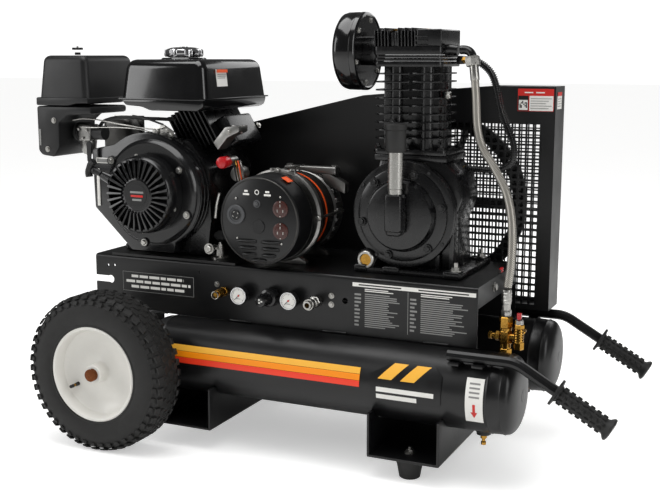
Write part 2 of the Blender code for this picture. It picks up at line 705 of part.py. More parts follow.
def pull_handle():
    """The handle of the recoil rope, drawn out up and to the left."""
    profile = [
        (0, 0.016), (0.016, 0.016), (0.020, 0.011), (0.020, 0.005), (0.0065, 0), (0.0045, -PULL_NECK),
        (0, -PULL_NECK),
    ]
    reach = RECOIL_RADIUS + PULL_NECK + GAP
    place = (ENGINE_X + reach * math.sin(PULL_LEAN), PULL_Y, ENGINE_Z + reach * math.cos(PULL_LEAN))
    obj = turned(profile, place, "+Z", 14)
    obj.rotation_euler = (0, PULL_LEAN, 0)
    adopt(obj, "pull_handle", "black_plastic")


def fuel_tank():
    """The pressed fuel tank over the engine, with its folded seam and filler neck."""
    low_x = ENGINE_X + FUEL_X - FUEL_LENGTH / 2
    high_x = ENGINE_X + FUEL_X + FUEL_LENGTH / 2
    obj = block((low_x, FUEL_FRONT_Y, FUEL_BOTTOM), (high_x, FUEL_BACK_Y, FUEL_TOP), 0.018, 3)
    seam_z = FUEL_BOTTOM + FUEL_SEAM
    seam = block((low_x - 0.008, FUEL_FRONT_Y - 0.008, seam_z - 0.003),
                 (high_x + 0.008, FUEL_BACK_Y + 0.008, seam_z + 0.003))
    neck = rod((ENGINE_X, 0, FUEL_TOP - 0.010), "+Z", 0.014, FUEL_NECK_RADIUS, 28)
    join(obj, seam, neck)
    room = block((low_x + FUEL_WALL, FUEL_FRONT_Y + FUEL_WALL, FUEL_BOTTOM + FUEL_WALL),
                 (high_x - FUEL_WALL, FUEL_BACK_Y - FUEL_WALL, FUEL_TOP - FUEL_WALL), 0.016, 3)
    mouth = rod((ENGINE_X, 0, FUEL_TOP - 0.020), "+Z", 0.030, FUEL_NECK_RADIUS - 2 * FUEL_WALL, 28)
    cut(obj, room, mouth)
    adopt(obj, "fuel_tank", "black_paint")


def fuel_cap():
    """The chromed filler cap, which turns off its neck."""
    top = CAP_HEIGHT
    profile = [
        (0, top), (CAP_RADIUS - 0.010, top), (CAP_RADIUS - 0.003, top - 0.004), (CAP_RADIUS, top - 0.009),
        (CAP_RADIUS, 0), (0, 0),
    ]
    adopt(turned(profile, (ENGINE_X, 0, FUEL_TOP + 0.004 + GAP), "+Z", 20), "fuel_cap", "chrome")


def air_cleaner():
    """The air cleaner's cover, its lower body with the intake duct, and the wing knob on top."""
    left = ENGINE_X + CLEANER_X - CLEANER_LENGTH / 2
    right = ENGINE_X + CLEANER_X + CLEANER_LENGTH / 2
    low = (left, CLEANER_FRONT_Y, CLEANER_SPLIT + GAP)
    cover = block(low, (right, CLEANER_BACK_Y, CLEANER_TOP), 0.014, 3)
    adopt(cover, "air_cleaner_cover", "black_plastic")
    base = block((left - 0.010, CLEANER_FRONT_Y - 0.004, CLEANER_SPLIT - 0.022),
                 (right + 0.006, CLEANER_BACK_Y, CLEANER_SPLIT), 0.006)
    duct = block((left - 0.012, CLEANER_FRONT_Y + 0.012, CLEANER_BOTTOM),
                 (left + 0.062, CLEANER_BACK_Y - 0.030, CLEANER_SPLIT - 0.010))
    carburettor = block((left + 0.050, CLEANER_FRONT_Y + 0.050, CLEANER_SPLIT - 0.100),
                        (ENGINE_X - 0.196, CLEANER_FRONT_Y + 0.120, CLEANER_SPLIT - 0.012))
    join(base, duct, carburettor)
    adopt(base, "air_cleaner_base", "black_plastic")
    knob = [(0, 0.020), (0.010, 0.020), (0.013, 0.016), (0.013, 0.008), (0.007, 0.004), (0.007, 0), (0, 0)]
    place = (ENGINE_X + CLEANER_X - 0.020, CLEANER_KNOB_Y, CLEANER_TOP + GAP)
    adopt(turned(knob, place, "+Z", 12), "air_cleaner_knob", "black_plastic")


def muffler():
    """The silencer box on the exhaust side, behind the air cleaner."""
    low = (ENGINE_X - 0.285, 0.060, ENGINE_Z + 0.045)
    high = (ENGINE_X - 0.194, 0.130, ENGINE_Z + 0.150)
    adopt(block(low, high, 0.012), "muffler", "steel")


def starter_motor():
    """The electric starter on the right of the fan housing."""
    place = (ENGINE_X + 0.158, ENGINE_FRONT_Y + 0.086, ENGINE_Z + 0.108)
    profile = [
        (0, 0.100), (0.012, 0.100), (0.014, 0.092), (0.026, 0.088), (0.028, 0.080), (0.028, 0), (0, 0),
    ]
    adopt(turned(profile, place, "-Y", 16), "starter_motor", "aluminium")


def choke_lever():
    """The choke lever at the carburettor, swung about a short shaft."""
    place = (ENGINE_X - 0.150, ENGINE_FRONT_Y - FAN_DEPTH - 0.0005, ENGINE_Z + 0.0985)
    points = [*arc(0, 0, 0.007, -30, 210, 8), *arc(-0.001, -0.034, 0.0045, 190, 350, 6)]
    obj = outline(points, place, "-Y", 0.003)
    obj.location.y -= 0.003
    adopt(obj, "choke_lever", "black_plastic")


def oil_dipstick():
    """The oil filler plug with its dipstick grip, low on the right of the crankcase."""
    place = (ENGINE_X + DIPSTICK_X, ENGINE_FRONT_Y + 0.020, ENGINE_Z - 0.094)
    profile = [
        (0, 0.026), (0.008, 0.026), (0.012, 0.022), (0.012, 0.008), (0.008, 0.006), (0.008, 0), (0, 0),
    ]
    adopt(turned(profile, place, "+X", 12), "oil_dipstick", "black_plastic")


# ------------------------------------------------------------------ belts and pulleys
def pulley_profile(radius, hub_radius, grooves, back_y, shaft_from, shaft_radius):
    """A pulley on its shaft as one turned piece, heights measured from the middle plane along +Y."""
    half = BELT_WIDTH / 2 + 0.003
    top = max(grooves) + half
    profile = [(0, top + back_y), (hub_radius, top + back_y)]
    for groove in sorted(grooves, reverse=True):
        profile += [
            (radius + 0.004, groove + half), (radius + 0.004, groove + half - 0.002),
            (radius, groove + half - 0.0025), (radius, groove - half + 0.0025),
            (radius + 0.004, groove - half + 0.002), (radius + 0.004, groove - half),
        ]
    profile += [(shaft_radius, min(grooves) - half), (shaft_radius, shaft_from), (0, shaft_from)]
    profile.insert(2, (hub_radius, top))
    return profile


def engine_pulley():
    """The engine's two-groove pulley on the crankshaft's end."""
    profile = pulley_profile(ENGINE_PULLEY_RADIUS, 0.020, (PUMP_BELT_Y, GENERATOR_BELT_Y), 0.006,
                             ENGINE_BACK_Y + GAP, ENGINE_SHAFT_RADIUS)
    adopt(turned(profile, (ENGINE_X, 0, ENGINE_Z), "+Y", 24), "engine_pulley", "cast_black")


def generator_pulley():
    """The generator's pulley on the rotor shaft's end."""
    profile = pulley_profile(GENERATOR_PULLEY_RADIUS, 0.016, (GENERATOR_BELT_Y,), 0.006,
                             GENERATOR_BACK_Y + GAP, GENERATOR_SHAFT_RADIUS)
    adopt(turned(profile, (GENERATOR_X, 0, GENERATOR_Z), "+Y", 18), "generator_pulley", "aluminium")


def pump_flywheel():
    """The pump's spoked flywheel, whose spokes work as a fan, on the crankshaft's end."""
    half = BELT_WIDTH / 2 + 0.004
    hub = [
        (0, half + 0.004), (0.034, half + 0.004), (0.034, -half - 0.004), (PUMP_SHAFT_RADIUS, -half - 0.004),
        (PUMP_SHAFT_RADIUS, PUMP_BACK_Y + GAP - PUMP_BELT_Y), (0, PUMP_BACK_Y + GAP - PUMP_BELT_Y),
    ]
    rim = [
        (FLYWHEEL_RADIUS + 0.004, half), (FLYWHEEL_RADIUS + 0.004, half - 0.002),
        (FLYWHEEL_RADIUS, half - 0.0025), (FLYWHEEL_RADIUS, 0.0025 - half),
        (FLYWHEEL_RADIUS + 0.004, 0.002 - half), (FLYWHEEL_RADIUS + 0.004, -half),
        (FLYWHEEL_RADIUS - 0.018, -half), (FLYWHEEL_RADIUS - 0.018, half),
    ]
    place = (PUMP_X, PUMP_BELT_Y, PUMP_Z)
    obj = turned(hub, place, "+Y", 20)
    for index in range(SPOKES):
        spoke = block((0.026, -0.012, -0.004), (FLYWHEEL_RADIUS - 0.010, 0.012, 0.004))
        blade = bpy.data.meshes.new("spoke")
        shape = bmesh.new()
        shape.from_mesh(spoke.data)
        bmesh.ops.rotate(shape, verts=shape.verts, matrix=Euler((math.radians(32), 0, 0)).to_matrix())
        bmesh.ops.translate(shape, verts=shape.verts, vec=spoke.location)
        shape.to_mesh(blade)
        shape.free()
        bpy.data.objects.remove(spoke, do_unlink=True)
        arm = link_mesh(blade, place)
        arm.rotation_euler = (0, 2 * math.pi * index / SPOKES, 0)
        join(obj, arm)
    join(obj, turned(rim, place, "+Y", 36, closed=True))
    adopt(obj, "pump_flywheel", "cast_black")


def belt_loop(radius_a, radius_b, span_x, span_z, count_a, count_b):
    """The outside of a belt round two pulleys, the second at the given offset from the first."""
    reach = math.hypot(span_x, span_z)
    heading = math.degrees(math.atan2(span_z, span_x))
    lean = math.degrees(math.acos((radius_a - radius_b) / reach))
    first = arc(0, 0, radius_a, heading + lean, heading + 360 - lean, count_a)
    second = arc(span_x, span_z, radius_b, heading - lean, heading + lean, count_b)
    return first + second


def belt(name, far_x, far_z, far_radius, middle_y):
    """A V-belt from the engine's pulley to another pulley."""
    inside = BELT_CLEARANCE
    outside = BELT_CLEARANCE + BELT_THICKNESS
    span_x = far_x - ENGINE_X
    span_z = far_z - ENGINE_Z
    loops = [
        belt_loop(ENGINE_PULLEY_RADIUS + grow, far_radius + grow, span_x, span_z, 12, 22)
        for grow in (outside, inside)
    ]
    obj = outline(loops[0], (ENGINE_X, middle_y, ENGINE_Z), "-Y", BELT_WIDTH - 0.002, holes=(loops[1],))
    adopt(obj, name, "rubber")


# ------------------------------------------------------------------ generator
def generator():
    """The generator: end drum with the outlet panel, then the stator on its feet."""
    front = GENERATOR_FRONT_Y
    split = front + DRUM_DEPTH
    drum = [
        (0, -front), (GENERATOR_RADIUS - 0.004, -front), (GENERATOR_RADIUS, -front - 0.004),
        (GENERATOR_RADIUS, -split), (0, -split),
    ]
    obj = turned(drum, (GENERATOR_X, 0, GENERATOR_Z), "-Y", 32)
    cut(obj, rod((GENERATOR_X + BREAKER_X, front - 0.01, GENERATOR_Z + BREAKER_Z), "+Y",
                 0.01 + BREAKER_DEPTH, BREAKER_RADIUS + GAP, 16))
    adopt(obj, "generator_drum", "black_plastic")
    split += GAP
    body = [
        (0, -split), (GENERATOR_RADIUS, -split), (GENERATOR_RADIUS, -split - 0.014),
        (GENERATOR_RADIUS - 0.009, -split - 0.014), (GENERATOR_RADIUS - 0.009, -split - 0.085),
        (GENERATOR_RADIUS + 0.007, -split - 0.085), (GENERATOR_RADIUS + 0.007, -GENERATOR_BACK_Y + 0.020),
        (0.060, -GENERATOR_BACK_Y), (0, -GENERATOR_BACK_Y),
    ]
    obj = turned(body, (GENERATOR_X, 0, GENERATOR_Z), "-Y", 32)
    for side in (-1, 1):
        foot = block((GENERATOR_X + side * 0.050 - 0.014, split + 0.020, DECK_TOP + GAP),
                     (GENERATOR_X + side * 0.050 + 0.014, GENERATOR_BACK_Y - 0.030, GENERATOR_Z - 0.040))
        join(obj, foot)
    adopt(obj, "generator_body", "aluminium")
    button = [
        (0, 0.020), (BREAKER_RADIUS - 0.001, 0.020), (BREAKER_RADIUS, 0.018), (BREAKER_RADIUS, 0), (0, 0),
    ]
    place = (GENERATOR_X + BREAKER_X, front + 0.015, GENERATOR_Z + BREAKER_Z)
    adopt(turned(button, place, "-Y", 10), "breaker_button", "black_plastic")


# ------------------------------------------------------------------ pump
def pump_crankcase():
    """The pump's crankcase on its foot, with the round front cover bolted over the crank."""
    front = PUMP_FRONT_Y
    body = [
        (0, -front), (0.066, -front), (0.069, -front - 0.004), (0.069, -front - 0.018),
        (PUMP_COVER_RADIUS, -front - 0.022), (PUMP_COVER_RADIUS, -front - 0.040),
        (PUMP_COVER_RADIUS - 0.014, -front - 0.044), (0.088, -PUMP_BACK_Y + 0.030),
        (0.050, -PUMP_BACK_Y), (0, -PUMP_BACK_Y),
    ]
    obj = turned(body, (PUMP_X, 0, PUMP_Z), "-Y", 32)
    foot = block((PUMP_X - 0.098, front + 0.010, DECK_TOP + GAP), (PUMP_X + 0.128, 0.120, DECK_TOP + 0.012))
    web = block((PUMP_X - 0.075, front + 0.046, DECK_TOP + 0.006), (PUMP_X + 0.090, 0.080, PUMP_Z - 0.020))
    neck = block((PUMP_X - 0.066, -0.040, PUMP_Z + 0.020), (PUMP_X + 0.066, 0.080, PUMP_DECK_Z - GAP))
    join(obj, foot, web, neck)
    adopt(obj, "pump_crankcase", "cast_black")


def pump_cylinder():
    """The finned cylinder block on its base flange."""
    left = PUMP_X - CYLINDER_LEFT
    right = left + CYLINDER_LENGTH
    front = CYLINDER_FRONT_Y
    back = front + CYLINDER_DEPTH
    obj = block((left + 0.012, front + 0.010, PUMP_DECK_Z + 0.004),
                (right - 0.012, back - 0.010, PUMP_DECK_Z + CYLINDER_HEIGHT - 0.004))
    flange = block((left + 0.004, front - 0.004, PUMP_DECK_Z),
                   (right + 0.010, back + 0.004, PUMP_DECK_Z + 0.011))
    join(obj, flange)
    span = CYLINDER_HEIGHT - 0.034
    for index in range(FINS):
        bottom = PUMP_DECK_Z + 0.030 + span * index / FINS
        join(obj, block((left, front, bottom), (right, back, bottom + FIN_THICKNESS)))
    top = PUMP_DECK_Z + CYLINDER_HEIGHT
    join(obj, block((left + 0.003, front + 0.003, top - 0.010), (right - 0.003, back - 0.003, top)))
    adopt(obj, "pump_cylinder", "cast_black")


def pump_head():
    """The valve plate and the finned head on top of the cylinders."""
    left = PUMP_X - CYLINDER_LEFT
    right = left + CYLINDER_LENGTH
    bottom = PUMP_DECK_Z + CYLINDER_HEIGHT + GAP
    obj = block((left, CYLINDER_FRONT_Y, bottom), (right, CYLINDER_FRONT_Y + CYLINDER_DEPTH, bottom + 0.030))
    for index in range(HEAD_FINS):
        low = left + 0.004 + (CYLINDER_LENGTH - 0.014) * index / (HEAD_FINS - 1)
        join(obj, block((low, CYLINDER_FRONT_Y + 0.003, bottom + 0.020),
                        (low + 0.006, CYLINDER_FRONT_Y + CYLINDER_DEPTH - 0.003, bottom + HEAD_HEIGHT)))
    outlet = rod((right - 0.004, OUTLET_Y, OUTLET_Z), "+X", 0.030, 0.012, 20)
    join(obj, outlet)
    adopt(obj, "pump_head", "cast_black")


def intake_filter():
    """The round intake filter on the left of the head."""
    left = PUMP_X - CYLINDER_LEFT
    face = left - FILTER_STANDOFF
    profile = [
        (0, left - GAP), (FILTER_NECK, left - GAP), (FILTER_NECK, face), (FILTER_RADIUS - 0.003, face),
        (FILTER_RADIUS, face - 0.004), (FILTER_RADIUS, face - FILTER_DEPTH + 0.006),
        (FILTER_RADIUS - 0.006, face - FILTER_DEPTH), (0, face - FILTER_DEPTH),
    ]
    place = (0, 0, PUMP_DECK_Z + CYLINDER_HEIGHT + FILTER_LIFT)
    adopt(turned(profile, place, "+X", 28), "intake_filter", "black_paint")


def breather_tube():
    """The crankcase breather that stands in front of the cover."""
    front = PUMP_FRONT_Y - GAP
    place = (PUMP_X + 0.001, front - 0.022, PUMP_Z)
    profile = [
        (0, 0.184), (0.018, 0.184), (0.022, 0.178), (0.022, 0.132), (0.016, 0.126), (0.016, 0.045),
        (0.0185, 0.042), (0.0185, -0.036), (0.014, -0.042), (0, -0.042),
    ]
    adopt(turned(profile, place, "+Z", 16), "breather_tube", "steel")


def intercooler():
    """The finned tube that cools the air between the two stages."""
    route = [(x + PUMP_X, y, z + DECK_TOP) for x, y, z in INTERCOOLER_ROUTE]
    adopt(as_mesh(tube(smooth_route(route, 25), 0.012, 2)), "intercooler", "cast_black")


def discharge_hose():
    """The braided hose from the head's outlet down to the check valve."""
    end = (VALVE_X, VALVE_Y, VALVE_TOP + GAP)
    start = (PUMP_X - CYLINDER_LEFT + CYLINDER_LENGTH + 0.026 + 2 * GAP, OUTLET_Y, OUTLET_Z)
    route = [
        start, (start[0] + 0.006, start[1], start[2]), (start[0] + 0.012, start[1], start[2]),
        (start[0] + 0.026, start[1] - 0.004, start[2] - 0.014),
        *[(x + PUMP_X, y, z + DECK_TOP) for x, y, z in HOSE_ROUTE],
        (end[0], end[1], end[2] + 0.045), (end[0], end[1], end[2] + 0.025), end,
    ]
    adopt(as_mesh(tube(smooth_route(route, 32), HOSE_RADIUS, 2)), "discharge_hose", "steel")


def check_valve():
    """The brass check valve and pilot valve, screwed into the front tank's shoulder."""
    across = abs(VALVE_Y) - TANK_Y
    seat = TANK_Z + math.sqrt(TANK_RADIUS ** 2 - across ** 2) + 0.003
    body = [
        (0, VALVE_TOP - seat), (0.009, VALVE_TOP - seat), (0.0135, VALVE_TOP - seat - 0.004),
        (0.0135, VALVE_TOP - seat - 0.022), (0.011, VALVE_TOP - seat - 0.026), (0.011, 0.014),
        (0.0125, 0.012), (0.0125, 0), (0, 0),
    ]
    obj = turned(body, (VALVE_X, VALVE_Y, seat), "+Z", 14)
    plug = rod((VALVE_X, VALVE_Y, seat + 0.035), "-X", 0.034, 0.009, 12)
    bridge = rod((VALVE_X, VALVE_Y, seat + 0.035), "+X", PILOT_OFFSET, 0.008, 12)
    pilot = rod((VALVE_X + PILOT_OFFSET, VALVE_Y, seat + 0.012), "+Z", PILOT_HEIGHT, 0.0105, 12)
    join(obj, plug, bridge, pilot)
    cut(obj, rod((VALVE_X - 0.05, -TANK_Y, TANK_Z), "+X", 0.10, TANK_RADIUS + GAP, 64))
    adopt(obj, "check_valve", "brass")
    foot = [math.pi + math.pi * step / 8 for step in range(9)]
    sides = [(TOGGLE_RADIUS * math.cos(turn), TOGGLE_RADIUS * math.sin(turn)) for turn in foot]
    lever = outline(sides + [(TOGGLE_RADIUS, TOGGLE_LENGTH), (-TOGGLE_RADIUS, TOGGLE_LENGTH)],
                    (VALVE_X + PILOT_OFFSET, VALVE_Y, seat + 0.012 + PILOT_HEIGHT + GAP + TOGGLE_RADIUS),
                    "-Y", 0.006)
    adopt(lever, "pilot_toggle", "red_plastic")


# ------------------------------------------------------------------ guard
def guard_outline(inset=0.0):
    """The guard's outline in the XZ plane, measured from the deck's top."""
    slope = (GUARD_KNEE_HEIGHT - GUARD_LEFT_HEIGHT) / (GUARD_KNEE_X - GUARD_LEFT_X)
    return [
        (GUARD_LEFT_X + inset, -GUARD_DROP + inset), (GUARD_RIGHT_X - inset, -GUARD_DROP + inset),
        (GUARD_RIGHT_X - inset, GUARD_TOP - inset), (GUARD_LEVEL_X, GUARD_TOP - inset),
        (GUARD_KNEE_X, GUARD_KNEE_HEIGHT - inset),
        (GUARD_LEFT_X + inset, GUARD_LEFT_HEIGHT - inset + slope * inset),
    ]


def belt_guard():
    """The tall guard: a front sheet with shaft holes and a rim folded back all round."""
    middle = (0, GUARD_FRONT_Y + GUARD_DEPTH / 2, DECK_TOP)
    obj = as_mesh(outline(guard_outline(), middle, "-Y", GUARD_DEPTH))
    inner = (0, GUARD_FRONT_Y + GUARD_DEPTH / 2 + GUARD_SHEET, DECK_TOP)
    cut(obj, as_mesh(outline(guard_outline(GUARD_SHEET), inner, "-Y", GUARD_DEPTH)))
    for x, z, radius in (
        (ENGINE_X, ENGINE_Z, ENGINE_SHAFT_RADIUS + 0.006),
        (GENERATOR_X, GENERATOR_Z, GENERATOR_SHAFT_RADIUS + 0.006),
        (PUMP_X, PUMP_Z, PUMP_SHAFT_RADIUS + 0.006),
    ):
        cut(obj, rod((x, GUARD_FRONT_Y - 0.01, z), "+Y", 0.02, radius, 24))
    adopt(obj, "belt_guard", "black_paint")


def guard_back():
    """The guard's rear sheet, set between the folded rims."""
    middle = (0, GUARD_FRONT_Y + GUARD_DEPTH - GUARD_SHEET / 2 - 0.002, DECK_TOP)
    inset = GUARD_SHEET + GAP
    adopt(outline(guard_outline(inset), middle, "-Y", GUARD_SHEET), "guard_back", "black_paint")


# ------------------------------------------------------------------ panel fittings
def panel_turned(name, tag, x, profile, sides=16, closed=False):
    """A turned fitting that stands out of the front panel."""
    adopt(turned(profile, (x, PANEL_Y - GAP, FITTING_Z), "-Y", sides, closed), name, tag)


def gauge(name, x):
    """A round pressure gauge on a short stem."""
    profile = [
        (0, 0.030), (0.0165, 0.030), (0.0185, 0.027), (0.0185, 0.012), (0.008, 0.010), (0.008, 0), (0, 0),
    ]
    panel_turned(name, "black_plastic", x, profile, 16)


def panel_fittings():
    """Safety valve with its ring, two gauges, the regulator with its knob, and the quick coupler."""
    safety = [
        (0, 0.034), (0.005, 0.034), (0.006, 0.030), (0.009, 0.028), (0.009, 0.012), (0.011, 0.010),
        (0.011, 0), (0, 0),
    ]
    panel_turned("safety_valve", "brass", SAFETY_X, safety)
    pull = [(0, 0.046), (0.009, 0.046), (0.009, 0.042), (0.003, 0.040), (0.003, 0.0343), (0, 0.0343)]
    panel_turned("safety_ring", "steel", SAFETY_X, pull)
    gauge("tank_gauge", TANK_GAUGE_X)
    gauge("outlet_gauge", OUTLET_GAUGE_X)
    regulator = [
        (0, 0.034), (0.011, 0.034), (0.017, 0.028), (0.019, 0.014), (0.017, 0.006), (0.010, 0.004),
        (0.010, 0), (0, 0),
    ]
    panel_turned("regulator", "brass", REGULATOR_X, regulator)
    knob = [(0, 0.058), (0.010, 0.058), (0.013, 0.055), (0.013, 0.038), (0.009, 0.0343), (0, 0.0343)]
    panel_turned("regulator_knob", "black_plastic", REGULATOR_X, knob)
    coupler = [
        (0, 0.020), (0.0055, 0.020), (0.0055, 0.050), (0.0085, 0.050), (0.0085, 0.014), (0.0125, 0.012),
        (0.0125, 0.002), (0.010, 0), (0, 0),
    ]
    panel_turned("quick_coupler", "steel", COUPLER_X, coupler)
    sleeve = [(0.0088, 0.044), (0.0125, 0.044), (0.0125, 0.024), (0.0088, 0.024)]
    panel_turned("coupler_sleeve", "steel", COUPLER_X, sleeve, closed=True)


# ------------------------------------------------------------------ assembly
def centre_machine():
    """Shift the machine so that the middle of its footprint is the origin."""
    bpy.context.view_layer.update()
    graph = bpy.context.evaluated_depsgraph_get()
    places = []
    for obj in PARTS.objects:
        shape = obj.evaluated_get(graph)
        mesh = shape.to_mesh()
        places += [shape.matrix_world @ vertex.co for vertex in mesh.vertices]
        shape.to_mesh_clear()
    for axis in (0, 1):
        values = [place[axis] for place in places]
        MACHINE.location[axis] = -(min(values) + max(values)) / 2


def build():
    """Model every sub-part in order."""
    for name, side in (("front", -1), ("rear", 1)):
        tank(name + "_tank", side)
        drain_cock(name + "_drain_cock", side)
        rubber_foot(name + "_rubber_foot", side)
        wheel(name, side)
        handle(name + "_handle", side)
        grip(name + "_grip", side)
    crossover_pipe()
    leg("wheel_leg", WHEEL_LEG_X)
    leg("foot_leg", FOOT_LEG_X)
    deck()
    axle()
    slide_plate()
    engine_block()
    fan_housing()
    recoil_starter()
    pull_handle()
    fuel_tank()
    fuel_cap()
    air_cleaner()
    muffler()
    starter_motor()
    choke_lever()
    oil_dipstick()
    engine_pulley()
    generator_pulley()
    pump_flywheel()
    belt("pump_belt", PUMP_X, PUMP_Z, FLYWHEEL_RADIUS, PUMP_BELT_Y)
    belt("generator_belt", GENERATOR_X, GENERATOR_Z, GENERATOR_PULLEY_RADIUS, GENERATOR_BELT_Y)
    generator()
    pump_crankcase()
    pump_cylinder()
    pump_head()
    intake_filter()
    breather_tube()
    intercooler()
    discharge_hose()
    check_valve()
    belt_guard()
    guard_back()
    panel_fittings()
    centre_machine()


clear_scene()
PARTS = new_collection("wheelbarrow_air_compressor")
CUTTERS = new_collection("cutters")
MACHINE = bpy.data.objects.new("machine", None)
bpy.context.scene.collection.objects.link(MACHINE)
build()
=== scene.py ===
"""Finished look of an engine-driven twin-tank air compressor with a belt-driven generator.

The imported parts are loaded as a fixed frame. Each operator below builds one piece or one group
of like pieces around them. Lengths are metres, measured from the middle of the deck along X,
from the machine's middle plane along Y and from the ground along Z.
"""

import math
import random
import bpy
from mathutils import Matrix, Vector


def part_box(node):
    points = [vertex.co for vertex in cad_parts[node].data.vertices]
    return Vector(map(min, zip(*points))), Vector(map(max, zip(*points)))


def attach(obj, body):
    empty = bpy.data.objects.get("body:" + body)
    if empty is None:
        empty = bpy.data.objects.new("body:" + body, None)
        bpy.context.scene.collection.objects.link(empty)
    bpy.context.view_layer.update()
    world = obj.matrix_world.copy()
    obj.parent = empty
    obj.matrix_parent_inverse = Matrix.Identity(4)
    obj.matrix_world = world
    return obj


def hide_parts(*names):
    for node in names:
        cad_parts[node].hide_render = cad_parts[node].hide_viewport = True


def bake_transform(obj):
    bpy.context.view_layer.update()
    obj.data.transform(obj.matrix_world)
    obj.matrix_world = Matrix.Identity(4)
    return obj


bl_info = {"name": "Twin-Tank Air Compressor", "version": (1, 0, 0), "blender": (4, 5, 0),
    "location": "View3D > Sidebar > Compressor",
    "description": "Builds the finished pieces and finishes of a wheeled air compressor",
    "category": "Object",}

import bmesh
import bpy
from bpy.props import FloatProperty, FloatVectorProperty, IntProperty, PointerProperty
from mathutils import Matrix, Vector

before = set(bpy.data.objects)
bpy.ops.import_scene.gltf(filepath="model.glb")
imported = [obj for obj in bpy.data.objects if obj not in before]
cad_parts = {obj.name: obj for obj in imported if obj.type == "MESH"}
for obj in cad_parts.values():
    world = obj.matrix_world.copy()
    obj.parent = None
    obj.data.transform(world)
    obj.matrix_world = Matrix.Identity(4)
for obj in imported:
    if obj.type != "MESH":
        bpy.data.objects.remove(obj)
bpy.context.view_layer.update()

MERGE = 0.00002  # points closer than this are one
SKIN = 0.0004  # thickness of a printed label
DECK_LOW, DECK_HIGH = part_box("deck")
MIDDLE = Vector(((DECK_LOW.x + DECK_HIGH.x) / 2, 0, 0))
EYE = Vector((1.0237, -2.0768, 0.8096))  # where the camera stands
LOOK_DOWN, LOOK_ASIDE = 10.06, 24.69  # how far the camera is turned, in degrees
UP, FRONT, BACK, RIGHT, LEFT = (0, 0, 1), (0, -1, 0), (0, 1, 0), (1, 0, 0), (-1, 0, 0)


def part(node):
    """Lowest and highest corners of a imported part, measured from the middle of the deck."""
    low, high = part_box(node)
    return low - MIDDLE, high - MIDDLE


def centre(node):
    """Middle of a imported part, measured from the middle of the deck."""
    low, high = part(node)
    return (low + high) / 2


# ------------------------------------------------------------------ colours
def linear(text):
    """An sRGB hex colour as the linear values that shaders use."""
    channels = [int(text[i:i + 2], 16) / 255 for i in (1, 3, 5)]
    return [c / 12.92 if c <= 0.04045 else ((c + 0.055) / 1.055) ** 2.4 for c in channels]


def colour(text, title, words):
    """A colour that the user can change."""
    return FloatVectorProperty(name=title, description=words, default=linear(text), size=3, min=0, max=1,
        subtype="COLOR")


def length(value, title, words):
    """A length that the user can change."""
    return FloatProperty(name=title, description=words, default=value, min=0.0001, max=4, unit="LENGTH",
        precision=4)


class CompressorColours(bpy.types.PropertyGroup):
    """Colours of the machine's finishes."""

    frame_paint: colour("#0a0a0b", "Frame paint", "Powder coat on the tanks, deck and guard")
    casting_paint: colour("#080809", "Casting paint", "Enamel on the pump's castings")
    plastic: colour("#101011", "Mouldings", "Moulded covers of the engine")
    rim: colour("#e2e0da", "Wheel rims", "Powder coat on the rims")
    stripe_top: colour("#f2b33d", "Top stripe", "Top band along the front tank")
    stripe_middle: colour("#f78f0d", "Middle stripe", "Middle band along the front tank")
    stripe_low: colour("#ee3c20", "Low stripe", "Lowest band along the front tank")
    floor: colour("#f4f4f3", "Floor", "Studio floor")


class CompressorSizes(bpy.types.PropertyGroup):
    """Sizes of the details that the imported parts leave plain."""

    tread_depth: length(0.0032, "Tread depth", "Height of the tyre's blocks")
    tread_pitches: IntProperty(name="Tread pitches", description="Blocks around each row of the tread",
        default=46, min=24, max=80)
    grille_pitch: length(0.015, "Grille pitch", "Distance between the square holes of the belt guard")
    grille_hole: length(0.0108, "Grille hole", "Side of each square hole of the belt guard")
    fin_thickness: length(0.003, "Fin thickness", "Thickness of the cylinder's cooling fins")
    cooler_pitch: length(0.0042, "Cooler pitch", "Distance between the fins of the intercooler tubes")
    lens: FloatProperty(name="Lens", description="Focal length of the camera", default=59.05, min=10,
        max=300, unit="CAMERA")


# ------------------------------------------------------------------ finishes
def add_node(tree, kind, inputs=None, **settings):
    """Add a shader node, set its fields and fill or link its inputs."""
    made = tree.nodes.new(kind)
    for field, value in settings.items():
        setattr(made, field, value)
    for socket, value in (inputs or {}).items():
        if isinstance(value, bpy.types.NodeSocket):
            tree.links.new(value, made.inputs[socket])
        else:
            made.inputs[socket].default_value = value
    return made


def new_material(name):
    """An empty material with its Principled shader and the piece's own coordinates."""
    material = bpy.data.materials.new(name)
    material.use_nodes = True
    tree = material.node_tree
    shader = tree.nodes["Principled BSDF"]
    place = add_node(tree, "ShaderNodeTexCoord").outputs["Object"]
    return material, tree, shader, place


def per_metre(millimetres):
    """Texture scale that gives a pattern of this size."""
    return 1000 / millimetres


